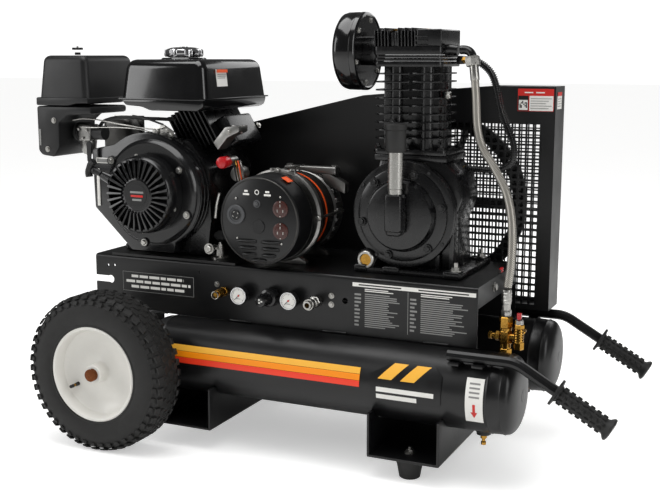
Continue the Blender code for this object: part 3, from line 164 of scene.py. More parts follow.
def surface(name, tone, shade, metallic, roughness, spread, patch, grain, relief, coat=0.0, stretch=None):
    """A finish with uneven colour and gloss in patches, and a fine grain that stands up.

    patch and grain are sizes in millimetres, relief is the height of the grain in millimetres,
    spread is how far the roughness varies, and stretch draws the grain out along an axis.
    """
    material, tree, shader, place = new_material(name)
    cloud = add_node(tree, "ShaderNodeTexNoise", {"Vector": place, "Scale": per_metre(patch), "Detail": 5.0,
        "Roughness": 0.6})
    tint = add_node(tree, "ShaderNodeMix", {"Factor": cloud.outputs["Fac"], "A": (*tone, 1),
        "B": (*shade, 1)}, data_type="RGBA")
    for socket, value in zip([s for s in tint.inputs if s.type == "RGBA"], (tone, shade)):
        socket.default_value = (*value, 1)
    mixed = next(s for s in tint.outputs if s.type == "RGBA")
    tree.links.new(mixed, shader.inputs["Base Color"])
    gloss = add_node(tree, "ShaderNodeMapRange", {"Value": cloud.outputs["Fac"], "From Min": 0.3,
        "From Max": 0.7, "To Min": max(roughness - spread, 0.03), "To Max": min(roughness + spread, 1.0)})
    tree.links.new(gloss.outputs["Result"], shader.inputs["Roughness"])
    drawn = place
    if stretch:
        drawn = add_node(tree, "ShaderNodeMapping", {"Vector": place, "Scale": stretch}).outputs["Vector"]
    fine = add_node(tree, "ShaderNodeTexNoise", {"Vector": drawn, "Scale": per_metre(grain), "Detail": 3.0,
        "Roughness": 0.55})
    bump = add_node(tree, "ShaderNodeBump", {"Height": fine.outputs["Fac"], "Strength": 1.0,
        "Distance": relief / 1000})
    tree.links.new(bump.outputs["Normal"], shader.inputs["Normal"])
    shader.inputs["Metallic"].default_value = metallic
    if coat:
        shader.inputs["Coat Weight"].default_value = coat
        shader.inputs["Coat Roughness"].default_value = 0.08
    return material


def braided_steel():
    """Woven stainless wire over a hose: crossing bright strands, with painted shade darkening the wire in the
    gaps between them.
    """
    material, tree, shader, place = new_material("braided_stainless_wire")
    strands = []
    for slant in (1.0, -1.0):
        leaning = add_node(tree, "ShaderNodeMapping", {"Vector": place,
            "Rotation": (0, slant * math.radians(45), 0)}).outputs["Vector"]
        band = add_node(tree, "ShaderNodeTexWave", {"Vector": leaning,
            "Scale": per_metre(1.5) / 20 * math.pi}, bands_direction="X")
        strands.append(band.outputs["Fac"])
    weave = add_node(tree, "ShaderNodeMath", {0: strands[0], 1: strands[1]}, operation="MULTIPLY")
    # the weave pattern is the wire's own; the ramp's darker end is painted shade in the gaps between the
    # strands
    ramp = add_node(tree, "ShaderNodeValToRGB", {"Fac": weave.outputs["Value"]})
    ramp.color_ramp.elements[0].color = (*linear("#8a8780"), 1)
    ramp.color_ramp.elements[1].color = (*linear("#d8d3ca"), 1)
    ramp.color_ramp.elements[1].position = 0.5
    tree.links.new(ramp.outputs["Color"], shader.inputs["Base Color"])
    bump = add_node(tree, "ShaderNodeBump", {"Height": weave.outputs["Value"], "Strength": 0.6,
        "Distance": 0.0002})
    tree.links.new(bump.outputs["Normal"], shader.inputs["Normal"])
    shader.inputs["Metallic"].default_value = 0.85
    shader.inputs["Roughness"].default_value = 0.38
    return material


FINISHES = {}


def make_finishes():
    """Make every finish of the machine once."""
    paint = bpy.context.scene.compressor_colours
    flat = linear

    def darker(tone, share):
        """The same colour with less or more light in it."""
        return [value * share for value in tone]

    table = {
        # thermoset powder coat on steel: semi-gloss with a soft orange peel and a little dust
        "powder_coat": (paint.frame_paint, darker(paint.frame_paint, 1.5), 0.0, 0.34, 0.05, 90, 1.6, 0.012),
        # two-pack gloss enamel on pressed steel: deep black, nearly mirror smooth
        "gloss_enamel": (flat("#070708"), flat("#0b0b0c"), 0.0, 0.17, 0.04, 60, 5.0, 0.01, 0.5),
        # enamel over cast iron: glossy, with a soft trace of the mould's sand
        "painted_casting": (paint.casting_paint, darker(paint.casting_paint, 1.6), 0.0, 0.27, 0.06, 25, 3.0,
                            0.03, 0.2),
        # polypropylene moulded in a sparked tool: even black with a fine matt texture
        "moulded_plastic": (paint.plastic, darker(paint.plastic, 1.35), 0.0, 0.46, 0.05, 70, 0.6, 0.02),
        # polished moulding of the starter cover
        "gloss_plastic": (flat("#0d0d0e"), flat("#141415"), 0.0, 0.2, 0.05, 30, 3.0, 0.01, 0.2),
        # carbon-black filled rubber: matt, with a bloom in patches
        "rubber": (flat("#141414"), flat("#232322"), 0.0, 0.55, 0.08, 22, 0.8, 0.03),
        # tyre compound: greyer and duller than the grips, dusty on the tread
        "tyre_rubber": (flat("#131312"), flat("#21201f"), 0.0, 0.66, 0.08, 16, 0.9, 0.06),
        # powder-coated pressed rim: off-white with a faint grey soiling
        "rim_powder_coat": (paint.rim, darker(paint.rim, 0.86), 0.0, 0.38, 0.06, 45, 1.6, 0.012),
        # bright zinc plate on bolts and brackets
        "zinc_plate": (flat("#c9c8c4"), flat("#a9a7a2"), 1.0, 0.3, 0.08, 8, 0.6, 0.01),
        # turned stainless and plain steel: fine rings from the lathe
        "turned_steel": (flat("#c4c3c0"), flat("#9b9a97"), 1.0, 0.26, 0.07, 9, 0.5, 0.012),
        # nickel-chrome on the filler cap
        "chrome_plate": (flat("#dcdcdd"), flat("#cfcfd1"), 1.0, 0.07, 0.02, 30, 8.0, 0.004),
        # die-cast aluminium: pale and slightly frosted, with a cast skin
        "cast_aluminium": (flat("#b3b2af"), flat("#8d8c89"), 1.0, 0.4, 0.08, 14, 0.9, 0.06),
        # free-machining brass: warm, bright on the turned faces
        "turned_brass": (flat("#c79a4a"), flat("#a87a31"), 1.0, 0.24, 0.07, 9, 0.5, 0.012),
        # oil-soaked bronze of the bushes, and the browned ends of the axle
        "sintered_bronze": (flat("#8a5232"), flat("#5f3822"), 1.0, 0.5, 0.08, 4, 0.4, 0.03),
        # paper-backed vinyl, printed
        "white_vinyl": (flat("#e9e8e4"), flat("#dedcd6"), 0.0, 0.45, 0.05, 40, 1.0, 0.004),
        "grey_print": (flat("#8d8d8b"), flat("#7c7c7a"), 0.0, 0.5, 0.05, 40, 1.0, 0.004),
        "black_vinyl": (flat("#0c0c0d"), flat("#131314"), 0.0, 0.4, 0.05, 40, 1.0, 0.004),
        "red_vinyl": (flat("#cf2119"), flat("#bd1c15"), 0.0, 0.42, 0.05, 40, 1.0, 0.004),
        "orange_vinyl": (flat("#ee5a1d"), flat("#e04f16"), 0.0, 0.42, 0.05, 40, 1.0, 0.004),
        "amber_vinyl": (paint.stripe_top, darker(paint.stripe_top, 0.93), 0.0, 0.36, 0.05, 60, 1.0, 0.004),
        "deep_amber_vinyl": (paint.stripe_middle, darker(paint.stripe_middle, 0.93), 0.0, 0.36, 0.05, 60,
                             1.0, 0.004),
        "flame_vinyl": (paint.stripe_low, darker(paint.stripe_low, 0.93), 0.0, 0.36, 0.05, 60, 1.0, 0.004),
        # phenolic sockets of the generator
        "brown_phenolic": (flat("#47201a"), flat("#341712"), 0.0, 0.3, 0.06, 8, 0.8, 0.02, 0.2),
        "grey_phenolic": (flat("#4c4d4f"), flat("#3c3d3f"), 0.0, 0.4, 0.06, 10, 0.8, 0.02),
        # red vinyl boot and red lacquer
        "red_plastic": (flat("#c4141c"), flat("#a01018"), 0.0, 0.28, 0.06, 12, 1.0, 0.02, 0.2),
        # dip-varnished lamination stack and windings
        "varnished_iron": (flat("#121110"), flat("#221f1c"), 0.2, 0.4, 0.1, 10, 0.9, 0.1),
        # bare steel under a film of oil and dust: dull grey
        "soiled_steel": (flat("#5b5a58"), flat("#3f3e3d"), 1.0, 0.42, 0.1, 12, 0.8, 0.04),
    }
    for name, row in table.items():
        FINISHES[name] = surface(name, *row)
    FINISHES["braided_wire"] = braided_steel()


# ------------------------------------------------------------------ modelling tools
def absorb(piece, solid, finish, turn=None, shift=None):
    """Close a solid, point its faces outwards, put it in place and add it to a piece."""
    bmesh.ops.remove_doubles(solid, verts=solid.verts, dist=MERGE)
    bmesh.ops.recalc_face_normals(solid, faces=solid.faces)
    if turn is not None:
        solid.transform(turn)
    if shift is not None:
        bmesh.ops.translate(solid, vec=shift, verts=solid.verts)
    finish = finish or piece["usual"]
    if finish not in piece["finishes"]:
        piece["finishes"].append(finish)
    for face in solid.faces:
        face.material_index = piece["finishes"].index(finish)
    mesh = bpy.data.meshes.new("solid")
    solid.to_mesh(mesh)
    solid.free()
    piece["shape"].from_mesh(mesh)
    bpy.data.meshes.remove(mesh)


def new_piece(finish=None):
    """A piece to which solids are added, in this finish unless they name their own."""
    return {"shape": bmesh.new(), "finishes": [], "usual": finish}


def towards(axis):
    """The turn that points a solid's Z along an axis."""
    return Vector(UP).rotation_difference(Vector(axis)).to_matrix().to_4x4()


def box(piece, low, high, edge=0.0, segments=2, turn=None, finish=None):
    """A box between two corners, its edges rounded if asked, turned about its middle."""
    size = Vector(high) - Vector(low)
    solid = bmesh.new()
    bmesh.ops.create_cube(solid, size=1.0)
    bmesh.ops.scale(solid, vec=size, verts=solid.verts)
    if edge:
        bmesh.ops.bevel(solid, geom=solid.edges[:], offset=min(edge, 0.45 * min(size)), segments=segments,
            profile=0.5, affect="EDGES", material=-1)
    absorb(piece, solid, finish, turn, (Vector(high) + Vector(low)) / 2)


def lathe(piece, profile, place, axis, steps=48, closed=False, sweep=math.tau, begin=0.0, finish=None):
    """A turned solid: (radius, distance along the axis) points spun round the axis."""
    solid = bmesh.new()
    points = [solid.verts.new((radius * math.cos(begin), radius * math.sin(begin), along)) for radius,
        along in profile]
    edges = [solid.edges.new(pair) for pair in zip(points, points[1:])]
    if closed:
        edges.append(solid.edges.new((points[-1], points[0])))
    full = sweep > math.tau - 0.001
    bmesh.ops.spin(solid, geom=points + edges, cent=(0, 0, 0), axis=UP, angle=sweep, steps=steps,
        use_merge=full)
    if not full:
        rim = [edge for edge in solid.edges if edge.is_boundary]
        bmesh.ops.holes_fill(solid, edges=rim, sides=0)
    absorb(piece, solid, finish, towards(axis), place)


def disc(piece, radius, start, stop, place, axis, steps=48, finish=None):
    """A flat-ended cylinder between two distances along an axis."""
    lathe(piece, [(0, start), (radius, start), (radius, stop), (0, stop)], place, axis, steps,
        finish=finish)


def band(piece, inner, outer, start, stop, place, axis, steps=48, finish=None):
    """A square-edged ring between two distances along an axis."""
    profile = [(inner, start), (outer, start), (outer, stop), (inner, stop)]
    lathe(piece, profile, place, axis, steps, closed=True, finish=finish)


def rod(piece, start, end, radius, steps=20, tip=None, edge=0.0, finish=None):
    """A round bar between two points, tapered if a tip radius is given."""
    start = Vector(start)
    span = Vector(end) - start
    solid = bmesh.new()
    bmesh.ops.create_cone(solid, cap_ends=True, cap_tris=False, segments=steps, radius1=radius,
        radius2=radius if tip is None else tip, depth=span.length)
    if edge:
        ends = [e for e in solid.edges if abs(e.verts[0].co.z - e.verts[1].co.z) < MERGE]
        bmesh.ops.bevel(solid, geom=ends, offset=edge, segments=2, profile=0.5, affect="EDGES", material=-1)
    absorb(piece, solid, finish, towards(span.normalized()), start + span / 2)


def prism(piece, outline, plane, level, depth, edge=0.0, finish=None):
    """A flat outline in the XZ, XY or YZ plane, made a solid along the third axis from a level."""
    lift = {"XZ": lambda u, v: (u, level, v), "XY": lambda u, v: (u, v, level), "YZ": lambda u,
        v: (level, u, v)}
    out = {"XZ": (0, depth, 0), "XY": (0, 0, depth), "YZ": (depth, 0, 0)}[plane]
    solid = bmesh.new()
    face = solid.faces.new([solid.verts.new(lift[plane](u, v)) for u, v in outline])
    raised = bmesh.ops.extrude_face_region(solid, geom=[face], use_keep_orig=True)["geom"]
    bmesh.ops.translate(solid, vec=out, verts=[v for v in raised if isinstance(v, bmesh.types.BMVert)])
    if edge:
        bmesh.ops.recalc_face_normals(solid, faces=solid.faces)
        bmesh.ops.bevel(solid, geom=solid.edges[:], offset=edge, segments=2, profile=0.5, affect="EDGES",
            material=-1)
    absorb(piece, solid, finish)


def tube(piece, points, radius, rounding=3, resolution=8, finish=None):
    """A bent bar along a smooth curve through the points."""
    curve = bpy.data.curves.new("route", "CURVE")
    curve.dimensions = "3D"
    curve.bevel_depth = radius
    curve.bevel_resolution = rounding
    curve.use_fill_caps = True
    curve.resolution_u = resolution
    line = curve.splines.new("BEZIER")
    line.bezier_points.add(len(points) - 1)
    for knot, point in zip(line.bezier_points, points):
        knot.co = point
        knot.handle_left_type = knot.handle_right_type = "AUTO"
    route = bpy.data.objects.new("route", curve)
    bpy.context.scene.collection.objects.link(route)
    bpy.context.view_layer.update()
    mesh = bpy.data.meshes.new_from_object(route.evaluated_get(bpy.context.evaluated_depsgraph_get()))
    bpy.data.objects.remove(route)
    bpy.data.curves.remove(curve)
    solid = bmesh.new()
    solid.from_mesh(mesh)
    bpy.data.meshes.remove(mesh)
    absorb(piece, solid, finish)


def bolt(piece, place, axis, radius, finish="zinc_plate", washer=True, stud=0.0):
    """A hexagon head with its chamfer, on a washer."""
    height = radius * 0.75
    ring = [(0, 0), (radius * 1.35, 0), (radius * 1.35, radius * 0.18), (0, radius * 0.18)]
    if washer:
        lathe(piece, ring, place, axis, 20, finish=finish)
    solid = bmesh.new()
    bmesh.ops.create_cone(solid, cap_ends=True, cap_tris=False, segments=6, radius1=radius,
        radius2=radius * 0.94, depth=height)
    top = [e for e in solid.edges if min(e.verts[0].co.z, e.verts[1].co.z) > 0]
    bmesh.ops.bevel(solid, geom=top, offset=radius * 0.12, segments=1, profile=0.5, affect="EDGES",
        material=-1)
    way = Vector(axis).normalized()
    absorb(piece, solid, finish, towards(way), Vector(place) + way * (height / 2 + radius * 0.15))
    if stud:
        rod(piece, Vector(place) + way * height, Vector(place) + way * (height + stud), radius * 0.5, 12,
            finish=finish)


def ring_of(count, radius, begin=0.0):
    """Points evenly round a circle, as (angle, across, up)."""
    turns = [begin + math.tau * index / count for index in range(count)]
    return [(turn, radius * math.cos(turn), radius * math.sin(turn)) for turn in turns]


def complete(piece, name, body, stands_for=(), smooth=38, cutter=None):
    """Make a piece an object, cut it if asked, and hand it to the body that it moves with."""
    shape = piece["shape"]
    bmesh.ops.translate(shape, vec=MIDDLE, verts=shape.verts)
    mesh = bpy.data.meshes.new(name)
    shape.to_mesh(mesh)
    shape.free()
    made = bpy.data.objects.new(name, mesh)
    bpy.context.scene.collection.objects.link(made)
    for finish in piece["finishes"]:
        mesh.materials.append(FINISHES[finish])
    if cutter:
        tool = complete_tool(cutter)
        cut = made.modifiers.new("holes", "BOOLEAN")
        cut.object = tool
        cut.use_self = True
        bpy.context.view_layer.update()
        made.data = bpy.data.meshes.new_from_object(made.evaluated_get(bpy.context.evaluated_depsgraph_get()))
        made.data.name = name
        made.modifiers.clear()
        bpy.data.meshes.remove(mesh)
        bpy.data.objects.remove(tool)
    made.data.shade_smooth()
    made.data.set_sharp_from_angle(angle=math.radians(smooth))
    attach(made, body)
    if stands_for:
        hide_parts(*stands_for)
    return made


def complete_tool(cutter):
    """Make the solids of a cutter one hidden object."""
    shape = cutter["shape"]
    bmesh.ops.translate(shape, vec=MIDDLE, verts=shape.verts)
    mesh = bpy.data.meshes.new("cutter")
    shape.to_mesh(mesh)
    shape.free()
    tool = bpy.data.objects.new("cutter", mesh)
    bpy.context.scene.collection.objects.link(tool)
    return tool


def keep_part(node, finish):
    """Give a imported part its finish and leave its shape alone."""
    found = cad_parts[node]
    found.data.materials.clear()
    found.data.materials.append(FINISHES[finish])


def wrapped(piece, outline, axis_place, radius, height, finish, step=0.003):
    """A flat outline (along X, up) laid round the outer side of a cylinder along X."""
    solid = bmesh.new()
    face = solid.faces.new([solid.verts.new((u, 0, v)) for u, v in outline])
    raised = bmesh.ops.extrude_face_region(solid, geom=[face], use_keep_orig=True)["geom"]
    bmesh.ops.translate(solid, vec=(0, height, 0), verts=[v for v in raised
        if isinstance(v, bmesh.types.BMVert)])
    levels = [v for u, v in outline]
    level = min(levels) + step
    while level < max(levels):
        bmesh.ops.bisect_plane(solid, geom=solid.verts[:] + solid.edges[:] + solid.faces[:],
            plane_co=(0, 0, level), plane_no=UP)
        level += step
    for point in solid.verts:
        turn = point.co.z / radius
        reach = radius + point.co.y
        point.co = Vector((point.co.x, -reach * math.cos(turn),
            reach * math.sin(turn))) + Vector(axis_place)
    absorb(piece, solid, finish)


def rectangle(u0, v0, u1, v1):
    """The corners of a rectangle."""
    return [(u0, v0), (u1, v0), (u1, v1), (u0, v1)]


def printed_lines(u0, v0, u1, v1, rows, finish, lay, seed, fill=0.9):
    """Rows of plain bars that stand for print, laid by a function."""
    chance = random.Random(seed)
    pitch = (v1 - v0) / rows
    for row in range(rows):
        width = (u1 - u0) * fill * chance.uniform(0.55, 1.0)
        low = v1 - (row + 0.75) * pitch
        lay(rectangle(u0, low, u0 + width, low + 0.5 * pitch), finish)


# ------------------------------------------------------------------ wheels
def tyre_tread(piece, hub):
    """Blocks of a turf tread: three staggered rows, and lugs that wrap over each shoulder."""
    sizes = bpy.context.scene.compressor_sizes
    low, high = part("front_tyre")
    radius = (high.z - low.z) / 2
    depth = sizes.tread_depth
    pitches = sizes.tread_pitches
    pitch = math.tau / pitches
    rows = [(0.0, 0.012, 0.0, 0.3), (0.0165, 0.011, 0.5, -0.35), (-0.0165, 0.011, 0.5, 0.35)]
    for across, width, shift, slant in rows:
        for index in range(pitches):
            angle = pitch * (index + shift)
            block_at(piece, hub, angle, radius - depth - 0.001, across,
                (width, depth, radius * pitch * 0.66), slant)
    for edge in (-1, 1):
        for index in range(pitches):
            angle = pitch * (index + 0.25)
            block_at(piece, hub, angle, radius - depth - 0.0025, edge * 0.0325,
                (0.0135, depth, radius * pitch * 0.6), edge * -0.15, edge * 0.3)
            block_at(piece, hub, angle, radius - depth - 0.0135, edge * 0.0415,
                (0.01, 0.0026, radius * pitch * 0.46), 0.0, edge * 1.02)


def block_at(piece, hub, angle, base, across, size, slant, lean=0.0):
    """One tread block at an angle round the wheel: size is across, outwards and along the tread."""
    width, tall, run = size
    solid = bmesh.new()
    bmesh.ops.create_cube(solid, size=1.0)
    bmesh.ops.scale(solid, vec=(run, width, tall), verts=solid.verts)
    top = [v for v in solid.verts if v.co.z > 0]
    bmesh.ops.scale(solid, vec=(0.86, 0.84, 1), verts=top)
    spin = Matrix.Rotation(slant, 4, "Z")
    tip = Matrix.Rotation(-lean, 4, "X")
    place = Matrix.Translation((0, across, base + tall / 2))
    turn = Matrix.Rotation(angle, 4, "Y")
    absorb(piece, solid, "tyre_rubber", turn @ place @ tip @ spin, hub)


def wheel(name, side):
    """A pneumatic tyre on a deep pressed rim with a bronze-bushed hub."""
    body = name + "_wheel"
    hub = centre(name + "_tyre")
    out = (0, side, 0)
    low, high = part(name + "_tyre")
    radius = (high.z - low.z) / 2
    half = (high.y - low.y) / 2
    tread = radius - bpy.context.scene.compressor_sizes.tread_depth
    bead = 0.0965
    side_wall = [(bead, half - 0.012), (bead + 0.002, half - 0.0055), (bead + 0.006, half - 0.003),
        (bead + 0.009, half - 0.0038), (bead + 0.014, half - 0.0015), (bead + 0.026, half - 0.0005),
        (bead + 0.038, half - 0.0012), (bead + 0.047, half - 0.004), (bead + 0.05, half - 0.0048),
        (bead + 0.052, half - 0.0072), (tread - 0.0095, half - 0.0085), (tread - 0.004, half - 0.014),
        (tread - 0.0012, half - 0.024), (tread, 0.008)]
    mirrored = [(r, -along) for r, along in reversed(side_wall)]
    inner = [(bead, -half + 0.02), (bead, half - 0.02)]
    tyre = new_piece("tyre_rubber")
    lathe(tyre, side_wall + mirrored + inner, hub, out, 96, closed=True)
    tyre_tread(tyre, hub)
    complete(tyre, name + "_tyre_tread", body, [name + "_tyre"], 30)

    rim = new_piece("rim_powder_coat")
    lip = half - 0.0065
    outside = [(bead - 0.001, lip - 0.01), (bead + 0.0035, lip - 0.002), (bead + 0.0035, lip + 0.0015),
        (bead + 0.001, lip + 0.0035), (bead - 0.002, lip + 0.0025), (bead - 0.0045, lip - 0.001),
        (bead - 0.006, lip - 0.008), (bead - 0.0085, lip - 0.02), (bead - 0.0115, lip - 0.023),
        (0.078, lip - 0.029), (0.066, lip - 0.0345), (0.052, lip - 0.0365), (0.04, lip - 0.0355),
        (0.03, lip - 0.0315), (0.0225, lip - 0.029), (0.0205, lip - 0.027), (0.0195, lip - 0.0235),
        (0.019, 0.0385), (0.018, 0.04), (0.0128, 0.04), (0.0122, 0.039), (0.0122, -0.045), (0.0128, -0.046),
        (0.018, -0.046), (0.019, -0.0445), (0.019, lip - 0.0345), (0.03, lip - 0.0355),
        (0.052, lip - 0.0405), (0.066, lip - 0.0385), (0.078, lip - 0.033), (bead - 0.0095, lip - 0.028),
        (bead - 0.0095, -lip + 0.014), (bead - 0.0055, -lip + 0.004), (bead - 0.002, -lip - 0.0022),
        (bead + 0.001, -lip - 0.0035), (bead + 0.0035, -lip - 0.0015), (bead + 0.0035, -lip + 0.002),
        (bead - 0.001, -lip + 0.01)]
    lathe(rim, outside, hub, out, 96, closed=True)
    bush = [(0.0083, 0.0395), (0.0121, 0.0395), (0.0121, 0.02), (0.0083, 0.02)]
    lathe(rim, bush, hub, out, 32, closed=True, finish="sintered_bronze")
    valve = Vector((0.072, 0, 0))
    valve.rotate(Matrix.Rotation(math.radians(150), 3, "Y"))
    foot = hub + valve + Vector(out) * (lip - 0.032)
    rod(rim, foot, foot + Vector(out) * 0.01, 0.0042, 16, 0.0034, finish="rubber")
    rod(rim, foot + Vector(out) * 0.01, foot + Vector(out) * 0.021, 0.0027, 12, finish="turned_brass")
    rod(rim, foot + Vector(out) * 0.017, foot + Vector(out) * 0.026, 0.0038, 12, 0.0034,
        finish="moulded_plastic")
    complete(rim, name + "_rim_disc", body, [name + "_wheel_rim"], 32)


def axle():
    """The axle bar, browned at its ends, and the split pins that hold the wheels."""
    low, high = part("axle")
    mid = centre("axle")
    radius = (high.z - low.z) / 2
    piece = new_piece("soiled_steel")
    hubs = high.y - 0.06
    rod(piece, (mid.x, -hubs, mid.z), (mid.x, hubs, mid.z), radius * 0.985, 32)
    for end in (low.y, high.y):
        near = math.copysign(hubs - 0.001, end)
        rod(piece, (mid.x, near, mid.z), (mid.x, end, mid.z), radius * 0.984, 32, edge=0.001,
            finish="sintered_bronze")
    for side in (-1, 1):
        pin = Vector((mid.x, side * (high.y - 0.004), mid.z))
        rod(piece, pin - Vector((0, 0, radius + 0.0015)), pin + Vector((0, 0, radius + 0.0015)), 0.0012, 10,
            finish="zinc_plate")
    complete(piece, "axle_bar", "frame", ["axle"])


# ------------------------------------------------------------------ tanks, legs and handles
TANK_LOW, TANK_HIGH = part("front_tank")
TANK_CENTRE_Y = -0.1488
TANK_RADIUS = 0.0775
TANK_HEAD = 0.046
TANK_LEFT = TANK_LOW.x + TANK_HEAD
TANK_RIGHT = TANK_HIGH.x - TANK_HEAD


def tank(name, side):
    """A rolled shell with two pressed heads, its weld beads, ports and base bosses."""
    mid = Vector((0, side * abs(TANK_CENTRE_Y), 0.1792))
    shell = []
    head_points = 10
    for index in range(head_points + 1):
        turn = math.pi / 2 * index / head_points
        shell.append((TANK_RADIUS * 0.985 * math.sin(turn) ** 0.82,
            TANK_LEFT - TANK_HEAD * math.cos(turn) ** 0.9 if index < head_points else TANK_LEFT))
    bead = 0.0022
    for seam in (TANK_LEFT + 0.006, TANK_RIGHT - 0.004):
        shell += [(TANK_RADIUS * 0.992, seam - 0.004), (TANK_RADIUS, seam - 0.0022),
            (TANK_RADIUS + bead * 0.4, seam), (TANK_RADIUS, seam + 0.0022),
            (TANK_RADIUS * 0.998, seam + 0.004)]
    shell += [(TANK_RADIUS * 0.985, TANK_RIGHT + 0.018), (TANK_RADIUS * 0.985 + 0.0012,
        TANK_RIGHT + 0.0205), (TANK_RADIUS * 0.985, TANK_RIGHT + 0.023)]
    for index in range(head_points + 1):
        turn = math.pi / 2 * index / head_points
        rise = TANK_HEAD - 0.024
        shell.append((TANK_RADIUS * 0.98 * math.cos(turn) ** 0.62,
            TANK_RIGHT + 0.024 + rise * math.sin(turn)))
    piece = new_piece("powder_coat")
    lathe(piece, shell, mid, RIGHT, 96)
    drain = centre(name + "_drain_cock")
    base = mid.z - TANK_RADIUS
    lathe(piece, [(0, -0.004), (0.0165, -0.004), (0.0165, 0.001), (0.014, 0.004), (0.014, 0.0078),
        (0.0046, 0.0078), (0.0046, 0.002), (0, 0.002)], (drain.x, mid.y, base), (0, 0, -1), 32)
    port = Vector((TANK_HIGH.x - 0.0015, mid.y, mid.z))
    lathe(piece, [(0, -0.006), (0.015, -0.006), (0.015, 0.0), (0.0125, 0.0014), (0, 0.0014)], port, RIGHT,
        32)
    complete(piece, name + "_tank_shell", "frame", [name + "_tank"], 34)


def tank_labels():
    """Three bands along the front tank, a plain two-stroke badge and the drain label."""
    axis = Vector((0, TANK_CENTRE_Y, 0.1792))
    skin = TANK_RADIUS + 0.0006
    piece = new_piece()
    start, stop = -0.215, 0.2345
    arcs = [(0.0258, 0.0385, "amber_vinyl"), (0.0131, 0.0252, "deep_amber_vinyl"),
        (0.0004, 0.0125, "flame_vinyl")]
    for low, high, finish in arcs:
        wrapped(piece, rectangle(start, low, stop, high), axis, skin, -SKIN, finish)
    complete(piece, "tank_stripes", "frame")

    badge = new_piece()
    panel = [(0.256, -0.016), (0.262, -0.02), (0.394, -0.02), (0.4, -0.016), (0.4, 0.04), (0.378, 0.062),
        (0.308, 0.062), (0.256, 0.03)]
    wrapped(badge, panel, axis, skin, -SKIN, "black_vinyl")
    for shift in (0.0, 0.046):
        stroke = [(0.272 + shift, 0.022), (0.3 + shift, 0.022), (0.33 + shift, 0.056),
            (0.302 + shift, 0.056)]
        wrapped(badge, stroke, axis, skin + SKIN, -SKIN, "amber_vinyl")
    for row, (left, right) in enumerate(((0.27, 0.386), (0.27, 0.352))):
        base = 0.006 - row * 0.014
        wrapped(badge, rectangle(left, base - 0.009, right, base), axis, skin + SKIN, -SKIN, "white_vinyl")
    complete(badge, "tank_badge", "frame")

    drain = new_piece()
    wrapped(drain, rectangle(0.4475, -0.042, 0.4815, 0.046), axis, skin, -SKIN, "white_vinyl")
    for row in range(4):
        base = 0.037 - row * 0.0085
        wrapped(drain, rectangle(0.4545, base - 0.0034, 0.4745, base), axis, skin + SKIN, -SKIN,
            "grey_print")
    arrow = [(0.462, -0.004), (0.467, -0.004), (0.467, -0.02), (0.471, -0.02), (0.4645, -0.032),
        (0.458, -0.02), (0.462, -0.02)]
    wrapped(drain, arrow, axis, skin + SKIN, -SKIN, "red_vinyl")
    complete(drain, "drain_label", "frame")


def leg(name, foot):
    """A folded channel under both tanks, with rounded folds and saddles cut for the tanks."""
    low, high = part(name)
    sheet = 0.005
    saddle = TANK_RADIUS + 0.0002
    piece = new_piece("powder_coat")
    crest_z = high.z
    for left in (low.x, high.x - sheet):
        box(piece, (left, low.y, low.z + 0.003), (left + sheet, high.y, crest_z), 0.0012)
    box(piece, (low.x, low.y, low.z), (high.x, high.y, low.z + sheet), 0.0018, 3)
    cutter = new_piece("powder_coat")
    for side in (-1, 1):
        rod(cutter, (low.x - 0.01, side * abs(TANK_CENTRE_Y), 0.1792),
            (high.x + 0.01, side * abs(TANK_CENTRE_Y), 0.1792), saddle, 96)
        flank = abs(TANK_CENTRE_Y) + TANK_RADIUS * 0.35
        ys = sorted((side * flank, side * 0.3))
        box(cutter, (low.x - 0.01, ys[0], 0.1792 - TANK_RADIUS * 0.62),
            (high.x + 0.01, ys[1], crest_z + 0.01))
    complete(piece, name + "_channel", "frame", [name], 34, cutter)
    if not foot:
        return
    for label, side in (("front", -1), ("rear", 1)):
        node = label + "_rubber_foot"
        bottom, top = part(node)
        mid = centre(node)
        rubber = new_piece("rubber")
        tall = top.z - bottom.z
        wide = (top.x - bottom.x) / 2
        lathe(rubber, [(0, 0), (wide - 0.0075, 0), (wide - 0.0055, 0.0015), (wide - 0.0008, tall * 0.62),
            (wide, tall * 0.66), (wide, tall - 0.0035), (wide - 0.002, tall - 0.0006), (0, tall - 0.0006)],
            (mid.x, mid.y, bottom.z), UP, 48)
        complete(rubber, node + "_moulding", "frame", [node], 34)
        nut = new_piece()
        bolt(nut, (mid.x, mid.y, low.z + sheet), UP, 0.0085, stud=0.006)
        complete(nut, node + "_nut", "frame")


